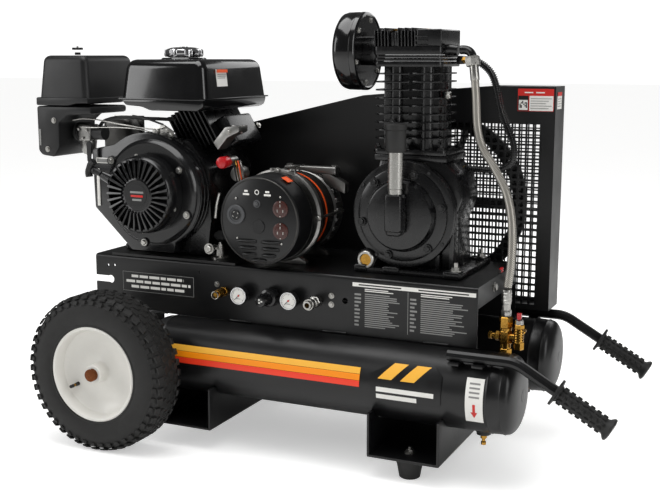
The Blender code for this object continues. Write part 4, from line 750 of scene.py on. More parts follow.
def handle(name, side):
    """The bent tube of a lifting handle with its weld pad, and its moulded grip."""
    tube_low, tube_high = part(name + "_handle")
    grip_low, grip_high = part(name + "_grip")
    line = side * 0.2025
    start = Vector((tube_low.x + 0.0012, line, tube_high.z - 0.011))
    slope = Vector((math.cos(math.radians(30)), 0, -math.sin(math.radians(30))))
    end = Vector((grip_high.x - 0.0115, line, grip_low.z + 0.0175))
    bend = Vector((0.534, line, start.z))
    reach = (end - bend).dot(slope)
    keep_part(name + "_handle", "powder_coat")
    pads = new_piece("powder_coat")
    for along in (start.x + 0.014, start.x + 0.06):
        box(pads, (along - 0.011, line - 0.0165, start.z - 0.015), (along + 0.011, line + 0.0165,
            start.z - 0.0086), 0.002)
    complete(pads, name + "_handle_pads", "frame")

    grip = new_piece("rubber")
    tip = bend + slope * reach
    top = tip - slope * 0.1165
    inner = 0.0107
    sleeve = [(inner, 0.0), (0.0262, 0.0), (0.0268, 0.002), (0.0262, 0.0045), (0.017, 0.0062),
        (0.0146, 0.0095), (0.0146, 0.103), (0.0158, 0.106), (0.0212, 0.111), (0.0222, 0.1135),
        (0.0212, 0.1165), (0.015, 0.1182), (0.0, 0.1182), (0.0, 0.113), (inner, 0.113)]
    lathe(grip, sleeve, top, slope, 48)
    turn = towards(slope)
    rows = 8
    for ring in range(7):
        along = 0.015 + ring * 0.0135
        for _, across, up in ring_of(rows, 0.0152, math.pi / rows):
            solid = bmesh.new()
            bmesh.ops.create_cube(solid, size=1.0)
            bmesh.ops.scale(solid, vec=(0.0052, 0.0078, 0.0092), verts=solid.verts)
            bmesh.ops.bevel(solid, geom=solid.edges[:], offset=0.0013, segments=1, profile=0.5,
                affect="EDGES", material=-1)
            spin = Matrix.Rotation(math.atan2(up, across), 4, "Z")
            absorb(grip, solid, "rubber", turn @ Matrix.Translation((across, up, along)) @ spin, top)
    complete(grip, name + "_grip_moulding", "frame", [name + "_grip"], 34)


# ------------------------------------------------------------------ deck and panel
def deck():
    """The folded deck: top sheet, two panels with rounded folds, end flange, cheeks and weld tabs."""
    left, right = DECK_LOW.x - MIDDLE.x, DECK_HIGH.x - MIDDLE.x
    half = (DECK_HIGH.y - DECK_LOW.y) / 2
    top = DECK_HIGH.z
    base = 0.257
    sheet = 0.0035
    fold = 0.0065
    outer, inner = [], []
    for index in range(7):
        turn = math.pi / 2 * index / 6
        outer.append((-half + fold - fold * math.cos(turn), top - fold + fold * math.sin(turn)))
        inner.append((-half + fold - (fold - sheet) * math.cos(turn),
            top - fold + (fold - sheet) * math.sin(turn)))
    outline = [(-half, base)] + outer + [(-y, z) for y, z in reversed(outer)] + [(half, base),
        (half - sheet, base)]
    outline += [(-y, z) for y, z in inner] + list(reversed(inner)) + [(-half + sheet, base)]
    piece = new_piece("powder_coat")
    prism(piece, outline, "YZ", left, right - left)
    flange_low = top - 0.042
    flange = [(-half + 0.0045, flange_low + 0.004), (-half + 0.008, flange_low), (half - 0.008, flange_low),
        (half - 0.0045, flange_low + 0.004), (half - 0.0045, top - 0.0012), (-half + 0.0045, top - 0.0012)]
    prism(piece, flange, "YZ", right - sheet, sheet, 0.0006)
    cutter = new_piece("powder_coat")
    holes = [(-0.409, 0.352, 0.0028), (-0.392, 0.353, 0.0028), (-0.172, 0.356, 0.0022),
        (0.166, 0.325, 0.0062), (-0.403, 0.3207, 0.0088)]
    for x, z, radius in holes:
        rod(cutter, (x, -half - 0.02, z), (x, -half + 0.02, z), radius, 32)
        if x < -0.3:
            rod(cutter, (x, half - 0.02, z), (x, half + 0.02, z), radius, 32)
    for side in (-1, 1):
        ys = sorted((side * (half - 0.02), side * (half + 0.02)))
        box(cutter, (left - 0.01, ys[0], 0.3133), (-0.403, ys[1], 0.3281))
    complete(piece, "deck_sheet", "frame", ["deck"], 34, cutter)

    cheeks = new_piece("powder_coat")
    mid = centre("axle")
    for side in (-1, 1):
        ys = sorted((side * 0.107, side * 0.112))
        outline = [(mid.x - 0.026, top - sheet), (mid.x - 0.026, mid.z + 0.004)]
        outline += [(mid.x - 0.026 * math.cos(t), mid.z - 0.026 * math.sin(t) + 0.002)
            for t in [math.pi * k / 12 for k in range(1, 12)]]
        outline += [(mid.x + 0.026, mid.z + 0.004), (mid.x + 0.026, top - sheet)]
        prism(cheeks, outline, "XZ", ys[0], ys[1] - ys[0], 0.0006)
    for x in (-0.281, -0.074, 0.143, 0.36):
        for side in (-1, 1):
            rod(cheeks, (x - 0.026, side * (half + 0.0005), base + 0.0015),
                (x + 0.026, side * (half + 0.0005), base + 0.0015), 0.0026, 12, edge=0.001)
    complete(cheeks, "axle_cheeks", "frame", (), 34)

    fixings = new_piece()
    for x, y, radius in ((0.447, -0.03, 0.0075), (0.447, 0.06, 0.0075)):
        bolt(fixings, (right, y, 0.357), RIGHT, radius)
    for x, z in ((-0.1305, 0.333), (0.136, 0.3325), (0.136, 0.3145)):
        bolt(fixings, (x, -half, z), FRONT, 0.0046)
    complete(fixings, "deck_bolts", "frame")


def panel_labels():
    """Printed labels on the control panel: a title plate and an instruction sheet, in plain bars."""
    half = (DECK_HIGH.y - DECK_LOW.y) / 2
    piece = new_piece()

    def on_panel(level):
        """A function that lays print on the panel, this far off it."""
        def lay(outline, finish):
            """Lay one flat outline."""
            prism(piece, outline, "XZ", -half - level, level, finish=finish)
        return lay

    base, ink = on_panel(0.0003), on_panel(0.0005)
    base(rectangle(-0.37, 0.299, -0.188, 0.342), "grey_print")
    base_edge = on_panel(0.0004)
    base_edge(rectangle(-0.3692, 0.2998, -0.1888, 0.3412), "black_vinyl")
    for low, left, right in ((0.33, -0.347, -0.213), (0.3185, -0.361, -0.196), (0.307, -0.348, -0.212)):
        cuts = random.Random(round(low * 10000))
        x = left
        while x < right:
            word = min(cuts.uniform(0.01, 0.026), right - x)
            ink(rectangle(x, low, x + word, low + 0.0058), "white_vinyl")
            x += word + 0.0035
    base(rectangle(0.181, 0.2655, 0.4395, 0.3665), "black_vinyl")
    ink(rectangle(0.1825, 0.357, 0.438, 0.365), "white_vinyl")
    mark = on_panel(0.0007)
    for left, right in ((0.196, 0.286), (0.322, 0.424)):
        mark(rectangle(left, 0.3597, right, 0.3623), "black_vinyl")
    ink(rectangle(0.3, 0.27, 0.301, 0.3545), "grey_print")
    for left, right, seed in ((0.187, 0.297, 3), (0.305, 0.436, 4)):
        printed_lines(left + 0.022, 0.3475, right - 0.012, 0.3545, 2, "white_vinyl", ink, seed, 1.0)
        printed_lines(left + 0.022, 0.275, right, 0.345, 17, "grey_print", ink, seed + 10)
        printed_lines(left, 0.275, left + 0.016, 0.345, 9, "grey_print", ink, seed + 20)
    complete(piece, "panel_labels", "frame")


# ------------------------------------------------------------------ engine
ENGINE = Vector((centre("engine_pulley").x, 0, 0.5202))


def arc(mid_x, mid_z, radius, first, last, steps):
    """Points on an arc in the XZ plane, between two angles in degrees."""
    return [(mid_x + radius * math.cos(math.radians(first + (last - first) * k / steps)),
        mid_z + radius * math.sin(math.radians(first + (last - first) * k / steps)))
        for k in range(steps + 1)]


def engine_block():
    """Crankcase with its ribs and feet, the slanted cylinder barrel with fins, and the rocker cover."""
    low, high = part("engine_block")
    x, z = ENGINE.x, ENGINE.z
    back = high.y - 0.004
    piece = new_piece("painted_casting")
    front = -0.0995
    outline = [(x - 0.098, low.z), (x + 0.11, low.z), (x + 0.122, z - 0.06), (x + 0.118, z + 0.05),
        (x + 0.07, z + 0.112), (x - 0.06, z + 0.112), (x - 0.112, z + 0.04), (x - 0.112, z - 0.06)]
    prism(piece, outline, "XZ", front, back - front - 0.03, 0.006)
    lathe(piece, [(0, 0), (0.06, 0), (0.066, 0.004), (0.078, 0.018), (0.086, 0.026), (0.086, 0.036),
        (0, 0.036)], (x, back, z), FRONT, 48)
    for _, across, up in ring_of(6, 0.078, 0.3):
        bolt(piece, (x + across, back - 0.024, z + up), BACK, 0.0055)
    for y in (front + 0.03, back - 0.06):
        box(piece, (x - 0.108, y - 0.022, low.z), (x + 0.124, y + 0.022, low.z + 0.013), 0.003)
    for y in (front + 0.03, back - 0.06):
        for across in (-0.09, 0.108):
            bolt(piece, (x + across, y, low.z + 0.012), UP, 0.0068, stud=0.004)
    barrel = Matrix.Rotation(math.radians(-30), 4, "Y")
    for index in range(9):
        along = 0.08 + index * 0.0105
        spot = Vector((x + 0.0, (front + back) / 2 - 0.01, z)) + barrel @ Vector((along, 0, 0.085))
        limit = high.x - 0.004
        if spot.x + 0.004 < limit:
            box(piece, spot - Vector((0.0016, 0.075, 0.05)), spot + Vector((0.0016, 0.075, 0.05)),
                turn=barrel)
    cover = Vector((x + 0.132, 0.01, z + 0.128))
    box(piece, cover - Vector((0.014, 0.058, 0.034)), cover + Vector((0.014, 0.058, 0.034)), 0.006, 3,
        barrel)
    for y in (-0.045, 0.065):
        bolt(piece, cover + barrel @ Vector((0.014, y, 0)), barrel @ Vector(RIGHT), 0.005)
    rod(piece, (x, back - 0.002, z), (x, back + 0.002, z), 0.02, 32, finish="turned_steel")
    complete(piece, "engine_crankcase", "frame", ["engine_block"])


def fan_housing():
    """Pressed cooling housing round the flywheel, with its folded rim, bolts and louvred flank."""
    low, high = part("fan_housing")
    x, z = ENGINE.x, ENGINE.z
    back, front = high.y - 0.0006, low.y + 0.0008
    depth = back - front
    outline = arc(x, z, 0.122, 62, -62, 14) + [(x + 0.052, low.z + 0.002), (x - 0.055, low.z + 0.002),
        (x - 0.15, z - 0.04), (x - 0.153, z + 0.088)]
    outline += arc(x - 0.012, z - 0.004, 0.132, 128, 66, 8)
    piece = new_piece("gloss_plastic")
    prism(piece, outline, "XZ", front + 0.008, depth - 0.008, 0.004)
    lathe(piece, [(0.06, 0.0), (0.106, 0.0), (0.1145, 0.0075), (0.1175, 0.018), (0.1175, 0.024),
        (0.06, 0.024)], (x, front, z), BACK, 72, closed=True)
    rim = arc(x, z, 0.1215, 60, -60, 12)
    for offset in (0.012, 0.026, 0.04):
        tube(piece, [(u, front + offset, v) for u, v in rim[1:-1:2]], 0.0016, 2, 5)
    for across, up in ((0.078, 0.052), (-0.015, -0.1075), (-0.094, 0.066), (0.094, -0.042)):
        lathe(piece, [(0, 0), (0.0105, 0), (0.0095, 0.006), (0, 0.006)],
            (x + across, front + 0.001, z + up), FRONT, 24)
        bolt(piece, (x + across, front - 0.004, z + up), FRONT, 0.0058)
    box(piece, (x - 0.141, front + 0.0064, z - 0.036), (x - 0.1335, front + 0.0084, z + 0.046), 0.0006,
        finish="white_vinyl")
    box(piece, (x - 0.141, front + 0.0064, z + 0.058), (x - 0.104, front + 0.0084, z + 0.07), 0.0006,
        finish="white_vinyl")
    box(piece, (x - 0.1385, front + 0.0058, z + 0.06), (x - 0.11, front + 0.0074, z + 0.068), 0.0006,
        finish="grey_print")
    complete(piece, "fan_shroud", "frame", ["fan_housing"])


def recoil_starter():
    """Starter cover: a dished ring of radial slats round a plain boss, with the rope's guide."""
    low, high = part("recoil_starter")
    x, z = ENGINE.x, ENGINE.z
    back, front = high.y - 0.0006, low.y + 0.001
    piece = new_piece("gloss_plastic")
    depth = back - front
    shell = [(0.0835, 0.0), (0.0845, depth * 0.35), (0.0825, depth * 0.7), (0.0775, depth * 0.86),
        (0.0735, depth * 0.88), (0.073, depth * 0.8), (0.076, depth * 0.66), (0.077, 0.0)]
    lathe(piece, shell, (x, back, z), FRONT, 72, closed=True)
    boss = [(0, depth * 0.3), (0.0385, depth * 0.3), (0.0395, depth * 0.8), (0.037, depth * 0.93),
        (0.033, depth * 0.955), (0.032, depth * 0.925), (0, depth * 0.925)]
    lathe(piece, boss, (x, back, z), FRONT, 64)
    # the matt black disc at the back of the cover is painted shade seen through the slats
    disc(piece, 0.0765, 0.002, depth * 0.28, (x, back, z), FRONT, 48, finish="rubber")
    slats = 30
    for turn, across, up in ring_of(slats, 0.057):
        solid = bmesh.new()
        bmesh.ops.create_cube(solid, size=1.0)
        bmesh.ops.scale(solid, vec=(0.0395, 0.015, 0.004), verts=solid.verts)
        lean = [v for v in solid.verts if v.co.x < 0]
        bmesh.ops.translate(solid, vec=(0, -0.0035, 0), verts=lean)
        outer = [v for v in solid.verts if v.co.x > 0]
        bmesh.ops.scale(solid, vec=(1, 1, 1.5), verts=outer)
        bmesh.ops.bevel(solid, geom=solid.edges[:], offset=0.0008, segments=1, profile=0.5, affect="EDGES",
            material=-1)
        spin = Matrix.Rotation(-turn, 4, "Y") @ Matrix.Rotation(math.radians(14), 4, "X")
        absorb(piece, solid, "gloss_plastic", spin, (x + across, back - depth * 0.8, z + up))
    mark = [(0.0, 0.0), (0.024, 0.0), (0.024, 0.0006), (0, 0.0006)]
    lathe(piece, mark, (x, front + depth * 0.075, z), FRONT, 40, finish="black_vinyl")
    for low_z, wide, finish in ((0.0065, 0.0165, "grey_print"), (-0.0015, 0.015, "red_vinyl"),
            (-0.0095, 0.0115, "grey_print")):
        box(piece, (x - wide, front + depth * 0.05, z + low_z - 0.0022),
            (x + wide, front + depth * 0.065, z + low_z + 0.0022), 0.0006, finish=finish)
    lean = math.radians(-68)
    way = Vector((math.sin(lean), 0, math.cos(lean)))
    eye = Vector((x, -0.185, z)) + way * 0.078
    rod(piece, eye, eye + way * 0.0225, 0.0115, 24, 0.0095)
    for turn, across, up in ring_of(3, 0.08, math.radians(100)):
        bolt(piece, (x + across, back - depth * 0.45, z + up), FRONT, 0.0045)
    complete(piece, "recoil_cover", "frame", ["recoil_starter"])


def pull_handle():
    """The moulded T handle of the starter, and the rope that pays out behind it."""
    low, high = part("pull_handle")
    lean = math.radians(-68)
    way = Vector((math.sin(lean), 0, math.cos(lean)))
    base = Vector((ENGINE.x, -0.185, ENGINE.z)) + way * 0.1055
    piece = new_piece("moulded_plastic")
    rod(piece, base, base + way * 0.016, 0.0062, 24, 0.0075)
    rod(piece, base + way * 0.015, base + way * 0.022, 0.0085, 24, 0.0075, edge=0.001)
    mid = base + way * 0.03
    cross = Vector((way.z, 0, -way.x))
    span = min((high.z - low.z), 0.058) / 2
    knots = [mid - cross * span * 0.92 - way * 0.004, mid - cross * span * 0.45 + way * 0.001,
        mid + way * 0.0015, mid + cross * span * 0.45 + way * 0.001,
        mid + cross * span * 0.92 - way * 0.004]
    tube(piece, knots, 0.0078, 4, 8)
    complete(piece, "pull_grip", "recoil_handle", ["pull_handle"])

    rope = new_piece("rubber")
    start = base - way * 0.027
    rod(rope, start, base + way * 0.004, 0.0022, 12)
    made = complete_loose(rope, "starter_rope")
    subdivide_along(made, way, 24)
    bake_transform(made)


def complete_loose(piece, name):
    """Make a piece an object without a parent, for a piece that bends between two bodies."""
    shape = piece["shape"]
    bmesh.ops.translate(shape, vec=MIDDLE, verts=shape.verts)
    mesh = bpy.data.meshes.new(name)
    shape.to_mesh(mesh)
    shape.free()
    made = bpy.data.objects.new(name, mesh)
    bpy.context.scene.collection.objects.link(made)
    for finish in piece["finishes"]:
        mesh.materials.append(FINISHES[finish])
    mesh.shade_smooth()
    return made


def subdivide_along(made, way, cuts):
    """Slice a straight piece across its length, so that it can stretch evenly."""
    shape = bmesh.new()
    shape.from_mesh(made.data)
    reach = [point.co.dot(way) for point in shape.verts]
    first, last = min(reach), max(reach)
    for index in range(1, cuts):
        level = first + (last - first) * index / cuts
        bmesh.ops.bisect_plane(shape, geom=shape.verts[:] + shape.edges[:] + shape.faces[:],
            plane_co=way * level, plane_no=way)
    shape.to_mesh(made.data)
    shape.free()


def tapered_shell(piece, low, high, inset, finish, edge, segments=4):
    """A box whose top is drawn in on all sides, with well rounded edges."""
    size = Vector(high) - Vector(low)
    solid = bmesh.new()
    bmesh.ops.create_cube(solid, size=1.0)
    bmesh.ops.scale(solid, vec=size, verts=solid.verts)
    top = [v for v in solid.verts if v.co.z > 0]
    bmesh.ops.scale(solid, vec=((size.x - 2 * inset) / size.x, (size.y - 2 * inset) / size.y, 1), verts=top)
    rims = [e for e in solid.edges if max(e.verts[0].co.z, e.verts[1].co.z) > 0]
    bmesh.ops.bevel(solid, geom=rims, offset=edge, segments=segments, profile=0.5, affect="EDGES",
        material=-1)
    absorb(piece, solid, finish, None, (Vector(high) + Vector(low)) / 2)


def fuel_tank():
    """Two pressed halves meeting in a seam flange, with a dished recess round the filler neck."""
    low, high = part("fuel_tank")
    seam = 0.7185
    flange = 0.0035
    lx, hx = low.x + flange, high.x - flange
    ly, hy = low.y + flange, high.y - flange
    neck_x = ENGINE.x
    piece = new_piece("gloss_enamel")
    roof = part("fuel_cap")[0].z - 0.0002
    tapered_shell(piece, (lx, ly, seam), (hx, hy, roof - 0.004), 0.009, "gloss_enamel", 0.02, 5)
    box(piece, (low.x + 0.002, low.y + 0.002, seam - 0.0016), (high.x - 0.002, high.y - 0.002,
        seam + 0.0016), 0.0012)
    outline = [(lx + 0.001, seam), (hx - 0.001, seam), (hx - 0.006, low.z + 0.008),
        (hx - 0.02, low.z + 0.002), (lx + 0.074, low.z + 0.002), (lx + 0.052, low.z + 0.01),
        (lx + 0.012, seam - 0.014)]
    prism(piece, outline, "XZ", ly + 0.001, hy - ly - 0.002, 0.0055)
    lathe(piece, [(0, -0.012), (0.048, -0.012), (0.05, -0.0035), (0.047, -0.0005), (0.04, -0.002),
        (0.034, -0.0022), (0.031, 0.0), (0, 0.0)], (neck_x, 0, roof), UP, 64)
    for y in (ly + 0.03, hy - 0.03):
        bolt(piece, (high.x - 0.01, y, seam + 0.0014), UP, 0.0042)
    complete(piece, "fuel_tank_shell", "frame", ["fuel_tank"], 40)

    label = new_piece("grey_print")
    face = hx - 0.0042
    lean = Matrix.Rotation(math.atan2(0.009, roof - seam), 4, "Y")
    spot = Vector((face, -0.055, seam + 0.044))
    for finish, (v0, v1), lift in (("white_vinyl", (-0.018, 0.018), 0.0),
            ("orange_vinyl", (0.0115, 0.018), 0.0004)):
        at = spot + lean @ Vector((lift, 0, (v0 + v1) / 2))
        box(label, at - Vector((0.0004, 0.0215, (v1 - v0) / 2)), at + Vector((0.0004, 0.0215,
            (v1 - v0) / 2)), turn=lean.inverted(), finish=finish)
    for row in range(6):
        at = spot + lean @ Vector((0.0004, -0.001 * (row % 3), 0.0078 - row * 0.004))
        box(label, at - Vector((0.0004, 0.0185 - 0.0012 * (row % 3), 0.0007)),
            at + Vector((0.0004, 0.0185 - 0.0012 * (row % 3), 0.0007)), turn=lean.inverted())
    complete(label, "fuel_tank_label", "frame")


def fuel_cap():
    """A chromed cap with eight scalloped grips, a rolled rim and a raised crown."""
    low, high = part("fuel_cap")
    mid = centre("fuel_cap")
    radius = (high.x - low.x) / 2
    tall = high.z - low.z
    piece = new_piece("chrome_plate")
    lathe(piece, [(0, 0), (radius * 0.8, 0), (radius * 0.86, tall * 0.08), (radius * 0.88, tall * 0.62),
        (radius * 0.84, tall * 0.78), (radius * 0.62, tall * 0.9), (radius * 0.4, tall * 0.94),
        (0, tall * 0.95)], (mid.x, mid.y, low.z), UP, 72)
    for turn, across, up in ring_of(8, radius * 0.885, math.pi / 8):
        solid = bmesh.new()
        bmesh.ops.create_cube(solid, size=1.0)
        bmesh.ops.scale(solid, vec=(radius * 0.2, radius * 0.5, tall * 0.7), verts=solid.verts)
        bmesh.ops.bevel(solid, geom=solid.edges[:], offset=radius * 0.08, segments=3, profile=0.5,
            affect="EDGES", material=-1)
        absorb(piece, solid, "chrome_plate", Matrix.Rotation(turn, 4, "Z"),
            (mid.x + across, mid.y + up, low.z + tall * 0.4))
    disc(piece, 0.009, 0, 0.0012, (mid.x, mid.y, low.z + tall * 0.945), UP, 24)
    complete(piece, "filler_cap_shell", "filler_cap", ["fuel_cap"], 40)


def air_cleaner():
    """Deep air cleaner: cover with a stepped skirt, lower body, duct, carburettor and governor links."""
    low, high = part("air_cleaner_cover")
    piece = new_piece("moulded_plastic")
    tapered_shell(piece, (low.x + 0.004, low.y + 0.004, 0.717), (high.x - 0.004, high.y - 0.004,
        high.z - 0.0005), 0.008, "moulded_plastic", 0.014, 5)
    skirt = [(low.x, low.z + 0.0006), (high.x - 0.055, low.z + 0.0006), (high.x - 0.03, 0.7065),
        (high.x, 0.7065), (high.x - 0.0005, 0.7185), (low.x + 0.0005, 0.7185)]
    prism(piece, skirt, "XZ", low.y, high.y - low.y, 0.003)
    complete(piece, "air_cleaner_shell", "frame", ["air_cleaner_cover"], 40)

    low, high = part("air_cleaner_base")
    body = new_piece("moulded_plastic")
    left = low.x + 0.006
    outline = [(left + 0.003, high.z - 0.001), (left + 0.003, 0.6), (left + 0.013, 0.59),
        (left + 0.046, 0.587), (left + 0.062, 0.61), (left + 0.062, 0.662), (left + 0.085, 0.68),
        (left + 0.15, 0.684), (left + 0.15, high.z - 0.001)]
    prism(body, outline, "XZ", low.y + 0.008, 0.135, 0.005)
    for x, z in ((left + 0.03, 0.604), (left + 0.05, 0.668)):
        bolt(body, (x, low.y + 0.008, z), FRONT, 0.0048)
    box(body, (left + 0.008, low.y + 0.007, 0.612), (left + 0.013, low.y + 0.0085, 0.648), 0.0005,
        finish="grey_print")
    duct = Vector((left + 0.078, -0.085, 0.64))
    for index in range(6):
        x = duct.x - 0.004 + index * 0.0048
        rod(body, (x, duct.y, duct.z), (x + 0.003, duct.y, duct.z), 0.0225, 32, edge=0.0008,
            finish="rubber")
    rod(body, (duct.x - 0.01, duct.y, duct.z), (duct.x + 0.03, duct.y, duct.z), 0.0195, 32, finish="rubber")
    bowl = Vector((left + 0.1, -0.09, 0.632))
    box(body, bowl - Vector((0.015, 0.019, 0.01)), bowl + Vector((0.018, 0.019, 0.026)), 0.004, 3,
        finish="cast_aluminium")
    lathe(body, [(0, 0), (0.0175, 0), (0.0185, 0.003), (0.016, 0.024), (0.0105, 0.031), (0, 0.032)],
        bowl - Vector((0, 0, 0.009)), (0, 0, -1), 40, finish="cast_aluminium")
    bolt(body, bowl - Vector((0, 0, 0.041)), (0, 0, -1), 0.0045, "turned_brass")
    for x, y, z in ((-0.01, -0.0205, 0.016), (0.011, -0.0205, 0.014), (0.0, -0.0205, -0.004)):
        bolt(body, bowl + Vector((x, y, z)), FRONT, 0.0034, "zinc_plate", False)
    rod(body, bowl + Vector((0.016, 0, 0.008)), bowl + Vector((0.046, 0, 0.008)), 0.016, 24)
    complete(body, "air_cleaner_body", "frame", ["air_cleaner_base"], 36)

    links = new_piece("zinc_plate")
    y = -0.118
    tube(links, [(bowl.x - 0.02, y, 0.668), (bowl.x + 0.01, y, 0.672), (ENGINE.x - 0.08, y, 0.661),
        (ENGINE.x + 0.004, y, 0.655), (ENGINE.x + 0.024, y, 0.66)], 0.0015, 2)
    tube(links, [(bowl.x, y + 0.004, 0.652), (ENGINE.x - 0.06, y + 0.004, 0.6535),
        (ENGINE.x - 0.006, y + 0.004, 0.646)], 0.0011, 2)
    plate = [(ENGINE.x - 0.012, 0.64), (ENGINE.x + 0.04, 0.634), (ENGINE.x + 0.044, 0.65),
        (ENGINE.x + 0.02, 0.664), (ENGINE.x - 0.01, 0.66)]
    prism(links, plate, "XZ", y + 0.002, 0.0022, 0.0005)
    for across, up in ((0.002, 0.65), (0.026, 0.651), (0.036, 0.642)):
        bolt(links, (ENGINE.x + across, y + 0.002, up), FRONT, 0.0048)
    tube(links, [(ENGINE.x - 0.066, y + 0.01, 0.681), (ENGINE.x - 0.03, y + 0.006, 0.676),
        (ENGINE.x + 0.016, y + 0.004, 0.664)], 0.0022, 2, finish="rubber")
    tube(links, [(bowl.x + 0.02, -0.08, 0.648), (bowl.x + 0.05, -0.092, 0.668),
        (ENGINE.x - 0.03, -0.085, 0.674), (ENGINE.x + 0.02, -0.07, 0.672)], 0.004, 3, finish="rubber")
    complete(links, "governor_links", "frame")

    low, high = part("air_cleaner_knob")
    mid = centre("air_cleaner_knob")
    knob = new_piece("moulded_plastic")
    radius = min(high.x - low.x, high.y - low.y) / 2
    rod(knob, (mid.x, mid.y, low.z + 0.0003), (mid.x, mid.y, low.z + 0.006), 0.0065, 20)
    lathe(knob, [(0, 0), (radius * 0.66, 0), (radius * 0.72, 0.0015), (radius * 0.66, 0.0048), (0, 0.0055)],
        (mid.x, mid.y, high.z - 0.0085), UP, 40)
    for _, across, up in ring_of(6, radius * 0.8):
        lathe(knob, [(0, 0), (radius * 0.19, 0), (radius * 0.2, 0.0035), (radius * 0.14, 0.0048),
            (0, 0.005)], (mid.x + across, mid.y + up, high.z - 0.0083), UP, 16)
    rod(knob, (mid.x, mid.y, high.z - 0.004), (mid.x, mid.y, high.z - 0.0004), 0.0022, 12,
        finish="zinc_plate")
    complete(knob, "air_cleaner_wing_knob", "cleaner_knob", ["air_cleaner_knob"])


def engine_fittings():
    """Starter motor with its solenoid, choke lever, dipstick, drain plug and the side bracket."""
    piece = new_piece("cast_aluminium")
    red = Vector((-0.129, -0.118, 0.588))
    rod(piece, red, red + Vector((0, 0.03, 0)), 0.0125, 32, edge=0.004, finish="red_plastic")
    rod(piece, red + Vector((0.0, 0.026, 0)), red + Vector((0, 0.06, 0)), 0.0105, 32)
    arm = [(-0.158, 0.628), (-0.146, 0.612), (-0.122, 0.64), (-0.094, 0.652), (-0.094, 0.666),
        (-0.128, 0.662)]
    prism(piece, arm, "XZ", -0.1, 0.04, 0.003)
    bolt(piece, (-0.099, -0.08, 0.652), RIGHT, 0.0045)
    bolt(piece, (-0.1185, -0.1, 0.652), FRONT, 0.0052)
    rod(piece, (-0.118, -0.07, 0.56), (-0.118, -0.04, 0.56), 0.016, 32, edge=0.002)
    for shift, finish in ((0.0, "turned_brass"), (0.006, "orange_vinyl"), (0.012, "zinc_plate"),
            (-0.006, "moulded_plastic")):
        tube(piece, [(-0.116 + shift, -0.078, 0.59), (-0.108 + shift, -0.084, 0.57),
            (-0.105 + shift, -0.08, 0.54), (-0.112 + shift, -0.074, 0.505)], 0.0017, 2, finish=finish)
    complete(piece, "starter_assembly", "frame", ["starter_motor"])

    strap = new_piece("zinc_plate")
    bow = [(-0.147, -0.112, 0.47), (-0.143, -0.112, 0.5), (-0.136, -0.112, 0.524)]
    for low_point, high_point in zip(bow, bow[1:]):
        rod(strap, low_point, high_point, 0.0042, 8)
    nut = Vector((-0.152, -0.128, 0.4065))
    rod(strap, nut + Vector((0, 0.02, 0)), nut + Vector((0, -0.004, 0)), 0.0065, 20, edge=0.001)
    bolt(strap, nut + Vector((0, -0.004, 0)), FRONT, 0.0085)
    lathe(strap, [(0, 0), (0.019, 0), (0.019, 0.003), (0.01, 0.006), (0.0085, 0.024), (0, 0.024)],
        (-0.146, -0.096, part("slide_plate")[1].z), UP, 28)
    bolt(strap, (-0.146, -0.096, part("slide_plate")[1].z + 0.023), UP, 0.007, stud=0.006)
    complete(strap, "engine_fixings", "frame")
    keep_part("choke_lever", "moulded_plastic")
    keep_part("oil_dipstick", "moulded_plastic")
    keep_part("slide_plate", "powder_coat")


def muffler():
    """Aluminised silencer behind the air cleaner, with its slotted heat guard and outlet."""
    low, high = part("muffler")
    piece = new_piece("soiled_steel")
    box(piece, (low.x + 0.006, low.y + 0.006, low.z + 0.006), (high.x - 0.006, high.y - 0.006,
        high.z - 0.006), 0.018, 5)
    tray = 0.0018
    box(piece, (low.x + 0.002, high.y - 0.005, low.z + 0.004), (high.x - 0.002, high.y - 0.005 + tray,
        high.z - 0.004), 0.0006, finish="turned_steel")
    count = 9
    for index in range(count):
        x = low.x + 0.014 + (high.x - low.x - 0.028) * index / (count - 1)
        box(piece, (x - 0.0028, high.y - 0.0034, low.z + 0.016), (x + 0.0028, high.y - 0.0012,
            high.z - 0.016), 0.0008)
    out = Vector((low.x + 0.022, high.y - 0.002, low.z + 0.03))
    rod(piece, out - Vector((0, 0.02, 0)), out, 0.0095, 28, edge=0.001, finish="turned_steel")
    for x, z in ((low.x + 0.01, high.z - 0.012), (high.x - 0.01, high.z - 0.012),
            (high.x - 0.01, low.z + 0.012)):
        bolt(piece, (x, high.y - 0.0035, z), BACK, 0.0036, "zinc_plate", False)
    complete(piece, "muffler_shell", "frame", ["muffler"])


